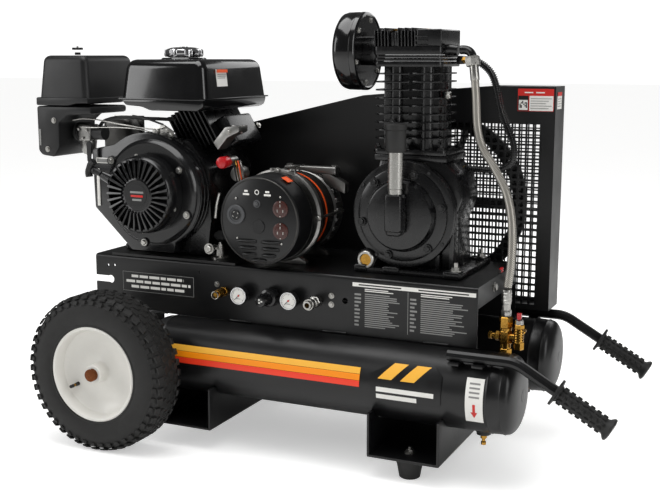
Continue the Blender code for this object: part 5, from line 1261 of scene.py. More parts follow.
# ------------------------------------------------------------------ generator
def generator():
    """Outlet drum with its sockets and louvres, then the stator, its finned brackets and through bolts."""
    low, high = part("generator_drum")
    mid = centre("generator_drum")
    radius = (high.x - low.x) / 2
    front = low.y
    piece = new_piece("powder_coat")
    shell = [(0, 0.0006), (radius - 0.006, 0.0006), (radius - 0.0028, 0.0024), (radius - 0.0016, 0.006),
        (radius - 0.0016, high.y - front - 0.001), (0, high.y - front - 0.001)]
    lathe(piece, shell, (mid.x, front, mid.z), BACK, 96)
    lathe(piece, [(radius - 0.0075, 0.0), (radius - 0.0062, -0.0001), (radius - 0.005, 0.001),
        (radius - 0.0075, 0.001)], (mid.x, front, mid.z), BACK, 96, closed=True, finish="soiled_steel")
    band(piece, radius - 0.0016, radius - 0.0004, 0.06, high.y - front - 0.0015, (mid.x, front, mid.z),
        BACK, 96, finish="soiled_steel")
    box(piece, (mid.x + 0.038, front + 0.026, mid.z + 0.0825), (mid.x + 0.056, front + 0.048,
        mid.z + 0.084), 0.0004, turn=Matrix.Rotation(math.radians(30), 4, "Y"), finish="orange_vinyl")

    def on_face(across, up, reach=0.0):
        """A place on the drum's face, measured from its middle."""
        return Vector((mid.x + across, front + 0.0006 - reach, mid.z + up))

    lock = on_face(-0.053, 0.01)
    lathe(piece, [(0, 0), (0.0205, 0), (0.0205, 0.002), (0.0195, 0.003), (0.015, 0.003), (0.014, 0.001),
        (0, 0.001)], lock, FRONT, 48, finish="grey_phenolic")
    lathe(piece, [(0, 0), (0.0105, 0), (0.0105, 0.0024), (0.0098, 0.003), (0, 0.003)], lock, FRONT, 40,
        finish="moulded_plastic")
    for turn, across, up in ring_of(4, 0.0065, 0.5):
        box(piece, lock + Vector((across - 0.0018, -0.0034, up - 0.0008)),
            lock + Vector((across + 0.0018, -0.0028, up + 0.0008)),
            turn=Matrix.Rotation(-turn + math.pi / 2, 4, "Y"), finish="zinc_plate")
    for up in (0.027, -0.018):
        spot = on_face(0.05, up)
        outline = arc(spot.x, spot.z, 0.0172, 0, 345, 22)
        prism(piece, outline, "XZ", spot.y - 0.0026, 0.003, 0.0005, finish="brown_phenolic")
        band(piece, 0.0118, 0.0128, 0, 0.003, spot, FRONT, 36, finish="brown_phenolic")
        for turn, across, lift in ring_of(3, 0.0072, math.pi / 2):
            box(piece, spot + Vector((across - 0.0009, -0.0031, lift - 0.0028)),
                spot + Vector((across + 0.0009, -0.0024, lift + 0.0028)), finish="zinc_plate")
        for lift in (0.0148, -0.0148):
            bolt(piece, spot + Vector((0, -0.002, lift)), FRONT, 0.0016, "zinc_plate", False)
    lathe(piece, [(0, 0), (0.014, 0), (0.014, 0.0018), (0.0132, 0.0026), (0, 0.0026)],
        on_face(-0.0005, -0.012), FRONT, 40, finish="moulded_plastic")
    lathe(piece, [(0.0055, 0), (0.008, 0), (0.0078, 0.0022), (0.0055, 0.0022)], on_face(-0.004, 0.035),
        FRONT, 32, closed=True, finish="grey_phenolic")
    for across, up in ((-0.052, 0.044), (0.05, 0.0515), (-0.05, -0.038), (0.052, -0.044), (0.0, -0.0815)):
        bolt(piece, on_face(across, up), FRONT, 0.0026, "zinc_plate", False)
    for across, wide in ((-0.029, 0.012), (0.02, 0.013)):
        for row, cut in enumerate((0.35, 0.6)):
            box(piece, on_face(across - wide * cut, 0.06 - row * 0.0065 - 0.002, 0.0004),
                on_face(across + wide * cut, 0.06 - row * 0.0065 + 0.002, -0.0004), 0.0003,
                finish="white_vinyl")
    band(piece, 0.0036, 0.0052, 0, 0.0004, on_face(-0.004, 0.0585), FRONT, 28, finish="white_vinyl")
    louvres = [(-0.0285, -0.043, 0.0215), (0.0285, -0.043, 0.0215), (-0.027, -0.057, 0.019),
        (0.027, -0.057, 0.019), (-0.023, -0.0705, 0.015), (0.023, -0.0705, 0.015), (0.0, -0.082, 0.016)]
    for across, up, half in louvres:
        spot = on_face(across, up)
        tube(piece, [spot + Vector((-half, 0.0012, 0)), spot + Vector((-half + 0.003, -0.0012, 0)),
            spot + Vector((half - 0.003, -0.0012, 0)), spot + Vector((half, 0.0012, 0))], 0.003, 3, 4)
        # the matt black strip under each louvre is painted shade standing for the shadowed mouth of its slot
        box(piece, spot + Vector((-half + 0.002, -0.0006, -0.0052)),
            spot + Vector((half - 0.002, 0.0008, -0.003)), finish="rubber")
    complete(piece, "generator_outlet_drum", "frame", ["generator_drum"])

    low, high = part("generator_body")
    body = new_piece("cast_aluminium")
    start = -0.0745
    cx, cz = mid.x, mid.z
    ring = radius + 0.0045
    lathe(body, [(0.05, 0), (ring - 0.004, 0), (ring, 0.003), (ring, 0.015), (ring - 0.0045, 0.018),
        (0.05, 0.018)], (cx, start, cz), BACK, 96, closed=True)
    disc(body, radius - 0.01, 0.012, 0.1, (cx, start, cz), BACK, 72, finish="varnished_iron")
    for index in range(13):
        at = 0.022 + index * 0.0058
        band(body, radius - 0.011, radius - 0.0078, at, at + 0.004, (cx, start, cz), BACK, 72,
            finish="varnished_iron")
    band(body, radius - 0.008, radius - 0.0066, 0.056, 0.0605, (cx, start, cz), BACK, 72,
        finish="orange_vinyl")
    back = start + 0.098
    end = min(high.y - 0.004, back + 0.07)
    lathe(body, [(0, end - back), (0.03, end - back), (0.04, end - back - 0.01),
        (0.075, end - back - 0.016), (radius - 0.006, end - back - 0.03),
        (radius - 0.004, end - back - 0.034), (radius - 0.004, 0.004), (radius - 0.008, 0), (0, 0)],
        (cx, back, cz), BACK, 72)
    for turn, across, up in ring_of(26, radius - 0.0035, math.radians(-40)):
        if -0.8 < turn < 1.05 or turn > math.tau - 0.8:
            solid = bmesh.new()
            bmesh.ops.create_cube(solid, size=1.0)
            bmesh.ops.scale(solid, vec=(0.006, 0.022, 0.009), verts=solid.verts)
            bmesh.ops.bevel(solid, geom=solid.edges[:], offset=0.0012, segments=1, profile=0.5,
                affect="EDGES", material=-1)
            absorb(body, solid, "cast_aluminium", Matrix.Rotation(-turn, 4, "Y"),
                (cx + across, back + 0.014, cz + up))
    top = min(high.z - 0.001, cz + radius + 0.006)
    for y0, y1, x0, x1 in ((start + 0.001, start + 0.011, cx - 0.022, cx + 0.04),
            (back + 0.001, back + 0.026, cx - 0.036, cx + 0.088)):
        box(body, (x0, y0, top - 0.02), (x1, y1, top - 0.004), 0.003, 3)
        for x in (x0 + 0.008, x1 - 0.008):
            lathe(body, [(0, 0), (0.0075, 0), (0.007, 0.0035), (0, 0.0035)],
                (x, (y0 + y1) / 2, top - 0.0042), UP, 24)
    prism(body, [(cx + 0.05, top - 0.006), (cx + 0.11, cz + 0.062), (cx + 0.108, cz + 0.04),
        (cx + 0.06, cz + 0.06)], "XZ", back + 0.002, 0.022, 0.002)
    for turn, across, up in ring_of(4, radius + 0.0005):
        if up > -0.02:
            rod(body, (cx + across, start - 0.002, cz + up), (cx + across, back + 0.028, cz + up), 0.0032,
                12, finish="zinc_plate")
            bolt(body, (cx + across, start, cz + up), FRONT, 0.0052)
    for y in (start + 0.004, back + 0.016):
        foot = [(cx - 0.062, low.z), (cx + 0.062, low.z), (cx + 0.062, low.z + 0.007),
            (cx + 0.04, low.z + 0.02), (cx + 0.03, cz - radius + 0.016), (cx - 0.03, cz - radius + 0.016),
            (cx - 0.04, low.z + 0.02), (cx - 0.062, low.z + 0.007)]
        prism(body, foot, "XZ", y, 0.016, 0.0015)
        for across in (-0.052, 0.052):
            bolt(body, (cx + across, y + 0.008, low.z + 0.007), UP, 0.0058)
    complete(body, "generator_frame", "frame", ["generator_body"])

    low, high = part("breaker_button")
    spot = centre("breaker_button")
    button = new_piece("grey_phenolic")
    r = (high.x - low.x) / 2 * 0.98
    lathe(button, [(0, 0), (r, 0), (r, high.y - low.y - 0.0012), (r - 0.001, high.y - low.y - 0.0003),
        (0, high.y - low.y)], (spot.x, high.y, spot.z), FRONT, 32)
    complete(button, "breaker_push_button", "breaker", ["breaker_button"])


# ------------------------------------------------------------------ pump
PUMP = Vector((0.263, 0, 0.4972))


def pump_crankcase():
    """Cast crankcase on its flanged foot, with the bolted front cover, ribs, sight glass and filler."""
    low, high = part("pump_crankcase")
    x, z = PUMP.x, PUMP.z
    piece = new_piece("painted_casting")
    cover = [(0, 0.0), (0.064, 0.0), (0.0668, 0.0012), (0.068, 0.004), (0.07, 0.012), (0.0712, 0.0135),
        (0.073, 0.0128), (0.074, 0.015), (0.09, 0.017), (0.0935, 0.0185), (0.0945, 0.0225), (0.101, 0.0228),
        (0.1062, 0.024), (0.1074, 0.0256), (0.1074, 0.033), (0.1062, 0.0345), (0.1066, 0.036),
        (0.1074, 0.0372), (0.1074, 0.042), (0.1, 0.046), (0.096, 0.062), (0.09, 0.165), (0.056, 0.1985),
        (0, 0.1985)]
    lathe(piece, cover, (x, low.y + 0.0005, z), BACK, 96)
    for _, across, up in ring_of(6, 0.0855, math.radians(12)):
        lathe(piece, [(0, 0), (0.0095, 0), (0.0085, 0.005), (0, 0.005)],
            (x + across, low.y + 0.0175, z + up), FRONT, 24)
        bolt(piece, (x + across, low.y + 0.013, z + up), FRONT, 0.0062, "painted_casting")
    for _, across, up in ring_of(4, 0.101, math.radians(57)):
        bolt(piece, (x + across, low.y + 0.0235, z + up), FRONT, 0.004, "painted_casting", False)
    deck = low.z
    foot = [(x - 0.097, deck), (x + 0.127, deck), (x + 0.127, deck + 0.011), (x - 0.097, deck + 0.011)]
    prism(piece, foot, "XZ", low.y + 0.012, 0.206, 0.002)
    for y in (low.y + 0.02, 0.095):
        for bump, wide in ((-0.086, 0.014), (-0.02, 0.018), (0.108, 0.018)):
            box(piece, (x + bump - wide, y - 0.012, deck + 0.001), (x + bump + wide, y + 0.014,
                deck + 0.016), 0.004, 3)
    shoulder = [(x - 0.074, deck + 0.008), (x + 0.1, deck + 0.008), (x + 0.092, z - 0.02),
        (x + 0.112, z + 0.03), (x + 0.1, z + 0.08), (x + 0.06, part("pump_cylinder")[0].z - 0.0006),
        (x - 0.06, part("pump_cylinder")[0].z - 0.0006), (x - 0.074, z + 0.06)]
    prism(piece, shoulder, "XZ", -0.044, 0.118, 0.006)
    for across in (0.098, 0.07):
        rib = [(x + across - 0.004, deck + 0.01), (x + across + 0.004, deck + 0.01),
            (x + across + 0.004, z + 0.02), (x + across - 0.004, z + 0.045)]
        prism(piece, rib, "XZ", -0.062, 0.03, 0.001)
    neck_top = part("pump_cylinder")[0].z - 0.0004
    prism(piece, [(x - 0.071, neck_top - 0.012), (x + 0.131 - 0.05, neck_top - 0.012),
        (x + 0.131 - 0.05, neck_top), (x - 0.071, neck_top)], "XZ", -0.052, 0.128, 0.002)
    glass = Vector((0.188, low.y + 0.0175, 0.402))
    lathe(piece, [(0, 0.03), (0.024, 0.03), (0.0225, 0.006), (0.0195, 0.0), (0, 0.0)], glass, BACK, 40)
    lathe(piece, [(0.0112, 0.0), (0.0178, 0.0), (0.0178, 0.0045), (0.0165, 0.006), (0.0125, 0.006),
        (0.0112, 0.0035)], glass, FRONT, 48, closed=True, finish="zinc_plate")
    disc(piece, 0.0114, 0.0, 0.003, glass, FRONT, 40, finish="turned_brass")
    bolt(piece, (x + 0.113, low.y + 0.024, deck + 0.016), UP, 0.0088, stud=0.01)
    bolt(piece, (x + 0.113, 0.095, deck + 0.016), UP, 0.0088, stud=0.01)
    bolt(piece, (x - 0.086, 0.095, deck + 0.016), UP, 0.0088, stud=0.01)
    lathe(piece, [(0.03, 0), (0.044, 0), (0.044, 0.008), (0.03, 0.01)], (x, high.y - 0.022, z), BACK, 48,
        closed=True)
    complete(piece, "pump_case", "frame", ["pump_crankcase"])


def breather():
    """Crankcase breather: rubber boot, plated tube and the cast elbow that it stands in."""
    low, high = part("breather_tube")
    x = (low.x + high.x) / 2
    y = -0.12
    piece = new_piece("painted_casting")
    lathe(piece, [(0, 0), (0.018, 0), (0.0198, 0.003), (0.02, 0.042), (0.0216, 0.044), (0.0216, 0.0535),
        (0.018, 0.0555), (0, 0.0555)], (x, y, high.z - 0.056), UP, 40, finish="rubber")
    lathe(piece, [(0, 0), (0.014, 0), (0.014, 0.01), (0.015, 0.011), (0.015, 0.082), (0, 0.082)],
        (x, y, high.z - 0.1375), UP, 40, finish="zinc_plate")
    elbow_top = high.z - 0.137
    box(piece, (x - 0.017, y - 0.017, low.z + 0.014), (x + 0.017, y + 0.017, elbow_top), 0.005, 3)
    box(piece, (x - 0.0155, y - 0.014, low.z + 0.006), (x + 0.0155, high.y - 0.002, low.z + 0.04), 0.006, 3)
    disc(piece, 0.0192, 0, 0.006, (x, y, elbow_top - 0.007), UP, 6)
    complete(piece, "crankcase_breather", "frame", ["breather_tube"])


def fin_outline(left, right, front, back, waist):
    """Rounded outline of a cooling fin round two bores side by side."""
    points = []
    for x, y, first in ((right - waist, back - waist, 0), (left + waist, back - waist, 90),
            (left + waist, front + waist, 180), (right - waist, front + waist, 270)):
        for step in range(5):
            turn = math.radians(first + 90 * step / 4)
            points.append((x + waist * math.cos(turn), y + waist * math.sin(turn)))
    return points


def pump_cylinder():
    """Two bores in one finned block, on a bolted base flange, with studs at the corners."""
    sizes = bpy.context.scene.compressor_sizes
    low, high = part("pump_cylinder")
    left, right = low.x + 0.002, high.x - 0.012
    front, back = low.y + 0.004, high.y - 0.004
    piece = new_piece("painted_casting")
    for x, r in ((left + 0.044, 0.036), (right - 0.036, 0.03)):
        rod(piece, (x, (front + back) / 2, low.z + 0.004), (x, (front + back) / 2, high.z - 0.002), r, 48)
        rod(piece, (x, front + 0.026, low.z + 0.006), (x, front + 0.026, high.z - 0.004), 0.013, 28)
    box(piece, (left + 0.016, front + 0.024, low.z + 0.004), (right - 0.012, back - 0.02, high.z - 0.004),
        0.004)
    flange = fin_outline(low.x + 0.005, high.x - 0.0005, low.y + 0.001, high.y - 0.001, 0.012)
    prism(piece, flange, "XY", low.z + 0.0002, 0.01, 0.0015)
    fins = 9
    pitch = (high.z - low.z - 0.04) / fins
    for index in range(fins):
        level = low.z + 0.03 + pitch * index
        for x0, x1 in ((left, left + 0.083), (left + 0.069, right)):
            shape = fin_outline(x0, x1, front + (0.004 if x0 > left else 0),
                back - (0.004 if x0 > left else 0), 0.026)
            prism(piece, shape, "XY", level + (0.0008 if x0 > left else 0), sizes.fin_thickness, 0.0006)
    top = fin_outline(left + 0.001, right, front + 0.001, back - 0.001, 0.012)
    prism(piece, top, "XY", high.z - 0.0105, 0.0102, 0.0015)
    for x in (low.x + 0.014, (left + right) / 2, high.x - 0.012):
        for y in (low.y + 0.01, high.y - 0.01):
            bolt(piece, (x, y, low.z + 0.0102), UP, 0.0068, "painted_casting", stud=0.006)
    bolt(piece, (right, front + 0.04, low.z + 0.118), RIGHT, 0.0078)
    bolt(piece, (left + 0.044, front + 0.002, low.z + 0.062), FRONT, 0.006, "painted_casting")
    complete(piece, "pump_barrel", "frame", ["pump_cylinder"])


def pump_head():
    """Valve plate, two-stage head with deep vertical fins, outlet boss, elbow and unloader nuts."""
    low, high = part("pump_head")
    cyl_low, cyl_high = part("pump_cylinder")
    left, right = cyl_low.x + 0.002, cyl_high.x - 0.012
    front, back = low.y, high.y
    piece = new_piece("painted_casting")
    for level, tall, inset in ((low.z + 0.0002, 0.006, 0.0015), (low.z + 0.0066, 0.0055, 0.003),
            (low.z + 0.0125, 0.016, 0.0008)):
        shape = fin_outline(left + inset, right - inset, front + inset, back - inset, 0.01)
        prism(piece, shape, "XY", level, tall, 0.001)
    box(piece, (left + 0.008, front + 0.012, low.z + 0.026), (right - 0.006, back - 0.012, high.z - 0.012),
        0.004)
    split = left + 0.092
    pitch = 0.0071
    x = left + 0.0035
    index = 0
    while x < split:
        gap = 0.036 < x - left < 0.053
        if not gap:
            box(piece, (x, front + 0.002, low.z + 0.0285), (x + 0.003, back - 0.002,
                high.z - (0.001 if index % 2 else 0.006)), 0.0008)
        else:
            box(piece, (x, front + 0.006, low.z + 0.0285), (x + 0.0062, back - 0.006, high.z - 0.01),
                0.0008)
        x += pitch
        index += 1
    box(piece, (split, front + 0.003, low.z + 0.0285), (right - 0.002, back - 0.003, high.z - 0.004), 0.003,
        3)
    for step in range(3):
        level = low.z + 0.03 + step * 0.0085
        box(piece, (split - 0.001, front + 0.0008, level), (right - 0.03, front + 0.006, level + 0.003),
            0.0008)
    for bx, by in ((left + 0.04, front + 0.034), (left + 0.096, front + 0.046)):
        lathe(piece, [(0, -0.006), (0.0085, -0.006), (0.0085, -0.003), (0.007, -0.0024), (0, -0.0024)],
            (bx, by, high.z), UP, 24, finish="turned_brass")
        bolt(piece, (bx, by, high.z - 0.003 - 0.0046), UP, 0.0058, "turned_brass", False)
    for bx in (left + 0.012, split + 0.01, right - 0.01):
        for by in (front + 0.012, back - 0.012):
            bolt(piece, (bx, by, high.z - 0.0105), UP, 0.0064, "painted_casting")
    outlet = Vector((right - 0.002, -0.02, 0.8202))
    tube(piece, [outlet, outlet + Vector((0.012, 0, 0.0008)), outlet + Vector((0.026, 0, -0.0005))], 0.0108,
        4)
    complete(piece, "pump_top", "frame", ["pump_head"])


def intake_filter():
    """Drum-shaped intake silencer with a rolled rim, face screws and its neck."""
    low, high = part("intake_filter")
    mid = centre("intake_filter")
    radius = (high.z - low.z) / 2
    piece = new_piece("gloss_enamel")
    drum = 0.0515
    body = [(0, 0.0), (radius * 0.8, 0.0), (radius * 0.9, 0.0012), (radius * 0.965, 0.005),
        (radius * 0.99, 0.012), (radius * 0.996, drum * 0.62), (radius * 0.978, drum * 0.66),
        (radius * 0.978, drum * 0.74), (radius * 1.0, drum * 0.78), (radius * 1.0, drum * 0.94),
        (radius * 0.975, drum * 0.985), (radius * 0.93, drum), (radius * 0.9, drum - 0.002),
        (0, drum - 0.002)]
    lathe(piece, body, (low.x, mid.y, mid.z), RIGHT, 96)
    rod(piece, (low.x + drum - 0.003, mid.y, mid.z), (high.x, mid.y, mid.z), 0.029, 40,
        finish="painted_casting")
    for _, across, up in ring_of(6, radius * 0.8, math.radians(20)):
        bolt(piece, (low.x + drum - 0.002, mid.y + across, mid.z + up), RIGHT, 0.0046)
    complete(piece, "intake_silencer", "frame", ["intake_filter"])


INTERCOOLER_ROUTE = [(0.0695, 0.045, 0.425), (0.085, 0.045, 0.425), (0.105, 0.045, 0.425),
    (0.142, 0.045, 0.395), (0.164, 0.045, 0.32), (0.188, 0.045, 0.262), (0.188, 0.045, 0.226),
    (0.16, 0.045, 0.206), (0.11, 0.045, 0.206), (0.088, 0.045, 0.206), (0.0667, 0.045, 0.206)]
HOSE_ROUTE = [(0.131, -0.03, 0.368), (0.138, -0.035, 0.295), (0.152, -0.04, 0.255), (0.177, -0.05, 0.222),
    (0.208, -0.065, 0.173), (0.224, -0.08, 0.118), (0.228, -0.092, 0.05)]


def smooth_points(points, count):
    """Evenly spread points on a smooth curve through the given ones."""
    knots = [Vector(point) for point in points]
    fine = []
    for index in range(len(knots) - 1):
        before = knots[max(index - 1, 0)]
        after = knots[min(index + 2, len(knots) - 1)]
        a, b = knots[index], knots[index + 1]
        for step in range(12):
            t = step / 12
            square = (2 * before - 5 * a + 4 * b - after) * t * t
            cube = (3 * a - 3 * b + after - before) * t ** 3
            fine.append(0.5 * ((2 * a) + (b - before) * t + square + cube))
    fine.append(knots[-1])
    spans = [0.0]
    for a, b in zip(fine, fine[1:]):
        spans.append(spans[-1] + (b - a).length)
    result = []
    cursor = 0
    for index in range(count):
        want = spans[-1] * index / (count - 1)
        while cursor < len(spans) - 2 and spans[cursor + 1] < want:
            cursor += 1
        share = (want - spans[cursor]) / max(spans[cursor + 1] - spans[cursor], 1e-9)
        result.append(fine[cursor].lerp(fine[cursor + 1], share))
    return result


def intercooler():
    """Two finned copper-bore tubes side by side, painted, with their end unions."""
    sizes = bpy.context.scene.compressor_sizes
    level = DECK_HIGH.z
    piece = new_piece("painted_casting")
    for shift in (-0.0072, 0.0072):
        route = smooth_points([(x + PUMP.x, y + shift, z + level) for x, y, z in INTERCOOLER_ROUTE], 60)
        tube(piece, route[::2], 0.0044, 3, 3)
        total = sum((b - a).length for a, b in zip(route, route[1:]))
        discs = smooth_points(route, int(total / sizes.cooler_pitch))
        for a, b in zip(discs[5:-5], discs[6:-4]):
            way = (b - a).normalized()
            rod(piece, a, a + way * 0.0011, 0.0066, 12)
    for end, way in (((0.0712, 0.045, 0.425), RIGHT), ((0.069, 0.045, 0.206), RIGHT)):
        base = Vector((end[0] + PUMP.x, end[1], end[2] + level))
        box(piece, base - Vector((0.0, 0.013, 0.0085)), base + Vector((0.012, 0.013, 0.0085)), 0.003, 3)
        for shift in (-0.0072, 0.0072):
            rod(piece, base + Vector((0.01, shift, 0)), base + Vector((0.021, shift, 0)), 0.0066, 6,
                finish="turned_brass")
    complete(piece, "intercooler_tubes", "frame", ["intercooler"], 34)


def discharge_hose():
    level = DECK_HIGH.z
    end = Vector((0.4865, -0.1, 0.318))
    start = Vector((0.3586, -0.02, 0.8202))
    route = [start, start + Vector((0.006, 0, 0)), start + Vector((0.012, 0, 0)),
        start + Vector((0.026, -0.004, -0.014))]
    route += [Vector((x + PUMP.x, y, z + level)) for x, y, z in HOSE_ROUTE]
    route += [end + Vector((0, 0, 0.045)), end + Vector((0, 0, 0.025)), end]
    fine = smooth_points(route, 80)
    hose = new_piece("braided_wire")
    tube(hose, fine[7:72:2], 0.0079, 4, 4)
    complete(hose, "discharge_hose_braid", "frame", ["discharge_hose"], 40)

    ends = new_piece("zinc_plate")
    tube(ends, fine[0:6], 0.0087, 4, 4, finish="painted_casting")
    way = (fine[7] - fine[5]).normalized()
    rod(ends, fine[4] + way * 0.004, fine[4] + way * 0.022, 0.015, 6, edge=0.0012)
    rod(ends, fine[7], fine[7] + (fine[10] - fine[7]).normalized() * 0.03, 0.009, 28, edge=0.001)
    foot = end
    rod(ends, foot + Vector((0, 0, 0.0002)), foot + Vector((0, 0, 0.012)), 0.0105, 6, edge=0.001)
    rod(ends, foot + Vector((0, 0, 0.0115)), foot + Vector((0, 0, 0.024)), 0.0082, 24)
    rod(ends, foot + Vector((0, 0, 0.023)), foot + Vector((0, 0, 0.052)), 0.0094, 28, edge=0.001)
    for lift in (0.029, 0.036, 0.043):
        lathe(ends, [(0.009, lift), (0.01, lift + 0.001), (0.01, lift + 0.003), (0.009, lift + 0.004)],
            foot, UP, 28, closed=True)
    complete(ends, "discharge_hose_ends", "frame")


# ------------------------------------------------------------------ guard and drives
def guard_shape(inset):
    """The guard's outline in the XZ plane."""
    low, high = part("belt_guard")
    drop = inset * 0.6
    return [(low.x + inset, low.z + inset), (high.x - inset, low.z + inset),
        (high.x - inset, high.z - inset), (0.376, high.z - inset), (0.084, 0.7232 - inset),
        (low.x + inset, 0.6152 - inset + drop)]


def grille(piece, low, high, y, sheet, hole):
    """Bars that leave rows of square holes between two corners (x, z)."""
    pitch = bpy.context.scene.compressor_sizes.grille_pitch
    columns = round((high[0] - low[0]) / pitch)
    rows = round((high[1] - low[1]) / pitch)
    bar = pitch - hole
    for index in range(columns + 1):
        x = low[0] + (high[0] - low[0]) * index / columns
        box(piece, (x - bar / 2, y, low[1] - 0.001), (x + bar / 2, y + sheet, high[1] + 0.001),
            finish="powder_coat")
    for index in range(rows + 1):
        z = low[1] + (high[1] - low[1]) * index / rows
        box(piece, (low[0] - 0.001, y + 0.0001, z - bar / 2), (high[0] + 0.001, y + sheet - 0.0001,
            z + bar / 2), finish="powder_coat")


def belt_guard():
    """Front sheet with its folded rim and two punched grilles, and the rear sheet with its own."""
    low, high = part("belt_guard")
    sheet = 0.0015
    hole = bpy.context.scene.compressor_sizes.grille_hole
    windows = [((0.272, 0.286), (0.482, 0.671)), ((-0.27, 0.52), (-0.225, 0.595))]
    front = new_piece("powder_coat")
    prism(front, guard_shape(0), "XZ", low.y, sheet)
    rim = guard_shape(0)
    inner = guard_shape(sheet)
    for index in range(len(rim)):
        a, b = rim[index], rim[(index + 1) % len(rim)]
        c, d = inner[(index + 1) % len(rim)], inner[index]
        prism(front, [a, b, c, d], "XZ", low.y + sheet * 0.5, high.y - low.y - sheet * 0.5)
    right = [rim[1], rim[2], (rim[2][0] - 0.01, rim[2][1]), (rim[1][0] - 0.01, rim[1][1])]
    prism(front, right, "XZ", high.y - sheet, sheet)
    cutter = new_piece("powder_coat")
    for corner, opposite in windows:
        box(cutter, (corner[0], low.y - 0.02, corner[1]), (opposite[0], low.y + 0.02, opposite[1]))
    for spot, radius in ((ENGINE, 0.022), (centre("generator_pulley"), 0.018), (PUMP, 0.022)):
        rod(cutter, (spot.x, low.y - 0.02, spot.z), (spot.x, low.y + 0.02, spot.z), radius, 48)
    complete(front, "guard_front", "frame", ["belt_guard"], 34, cutter)

    back_y = part("guard_back")[0].y
    rear = new_piece("powder_coat")
    prism(rear, guard_shape(sheet + 0.0003), "XZ", back_y, sheet)
    cutter = new_piece("powder_coat")
    rear_low = (windows[0][0][0] - 0.075, windows[0][0][1])
    rear_high = (windows[0][1][0] - 0.0, windows[0][1][1] + 0.015)
    box(cutter, (rear_low[0], back_y - 0.02, rear_low[1]), (rear_high[0], back_y + 0.02, rear_high[1]))
    box(cutter, (-0.33, back_y - 0.02, 0.505), (-0.225, back_y + 0.02, 0.58))
    complete(rear, "guard_rear", "frame", ["guard_back"], 34, cutter)

    bars = new_piece()
    for corner, opposite in windows:
        grille(bars, corner, opposite, low.y, sheet, hole)
    grille(bars, rear_low, rear_high, back_y, sheet, hole + 0.0014)
    grille(bars, (-0.33, 0.505), (-0.225, 0.58), back_y, sheet, hole + 0.0014)
    complete(bars, "guard_grilles", "frame")

    fixings = new_piece("white_vinyl")
    for x, z in ((0.5, 0.64), (0.5, 0.32), (0.1, 0.7), (-0.36, 0.59), (-0.36, 0.3)):
        bolt(fixings, (x, back_y + sheet, z), BACK, 0.0048)
    box(fixings, (0.432, low.y - SKIN, 0.696), (0.507, low.y, 0.742), finish="red_vinyl")
    box(fixings, (0.433, low.y - 2 * SKIN, 0.697), (0.4545, low.y, 0.7275), finish="black_vinyl")
    box(fixings, (0.4345, low.y - 3 * SKIN, 0.6985), (0.453, low.y, 0.719))
    box(fixings, (0.4565, low.y - 2 * SKIN, 0.697), (0.506, low.y, 0.7275))
    chance = random.Random(5)
    for row in range(6):
        for column in range(6):
            if chance.random() < 0.5:
                box(fixings, (0.436 + column * 0.0027, low.y - 4 * SKIN, 0.7 + row * 0.0029),
                    (0.4384 + column * 0.0027, low.y - 2 * SKIN, 0.7026 + row * 0.0029),
                    finish="black_vinyl")
    for row in range(5):
        box(fixings, (0.459, low.y - 3 * SKIN, 0.7215 - row * 0.005),
            (0.503 - 0.006 * (row % 3), low.y, 0.7227 - row * 0.005), finish="grey_print")
    for x in (0.446, 0.47):
        box(fixings, (x, low.y - 2 * SKIN, 0.733), (x + 0.018, low.y, 0.7355))
    side = high.x
    box(fixings, (side, 0.158, 0.7), (side + SKIN, 0.196, 0.735))
    box(fixings, (side, 0.158, 0.727), (side + 2 * SKIN, 0.196, 0.735), finish="red_vinyl")
    for row in range(4):
        box(fixings, (side, 0.162, 0.7205 - row * 0.005), (side + 2 * SKIN, 0.19, 0.7217 - row * 0.005),
            finish="grey_print")
    complete(fixings, "guard_labels_and_bolts", "frame")


def drives():
    """Finishes of the flywheel, pulleys and belts, and the flywheel's shaft nut."""
    for node, finish in (("pump_flywheel", "painted_casting"), ("engine_pulley", "painted_casting"),
            ("generator_pulley", "cast_aluminium"), ("pump_belt", "rubber"), ("generator_belt", "rubber")):
        keep_part(node, finish)
    high = part("pump_flywheel")[1]
    piece = new_piece()
    bolt(piece, (PUMP.x, high.y - 0.0002, PUMP.z), BACK, 0.0125)
    complete(piece, "flywheel_nut", "pump_drive")


# ------------------------------------------------------------------ air fittings
def hexagon(piece, place, axis, start, stop, radius, finish=None):
    """A chamfered hexagon between two distances along an axis."""
    way = Vector(axis)
    edge = radius * 0.12
    lathe(piece, [(0, start), (radius - edge, start), (radius, start + edge), (radius, stop - edge),
        (radius - edge, stop), (0, stop)], place, way, 6, finish=finish)


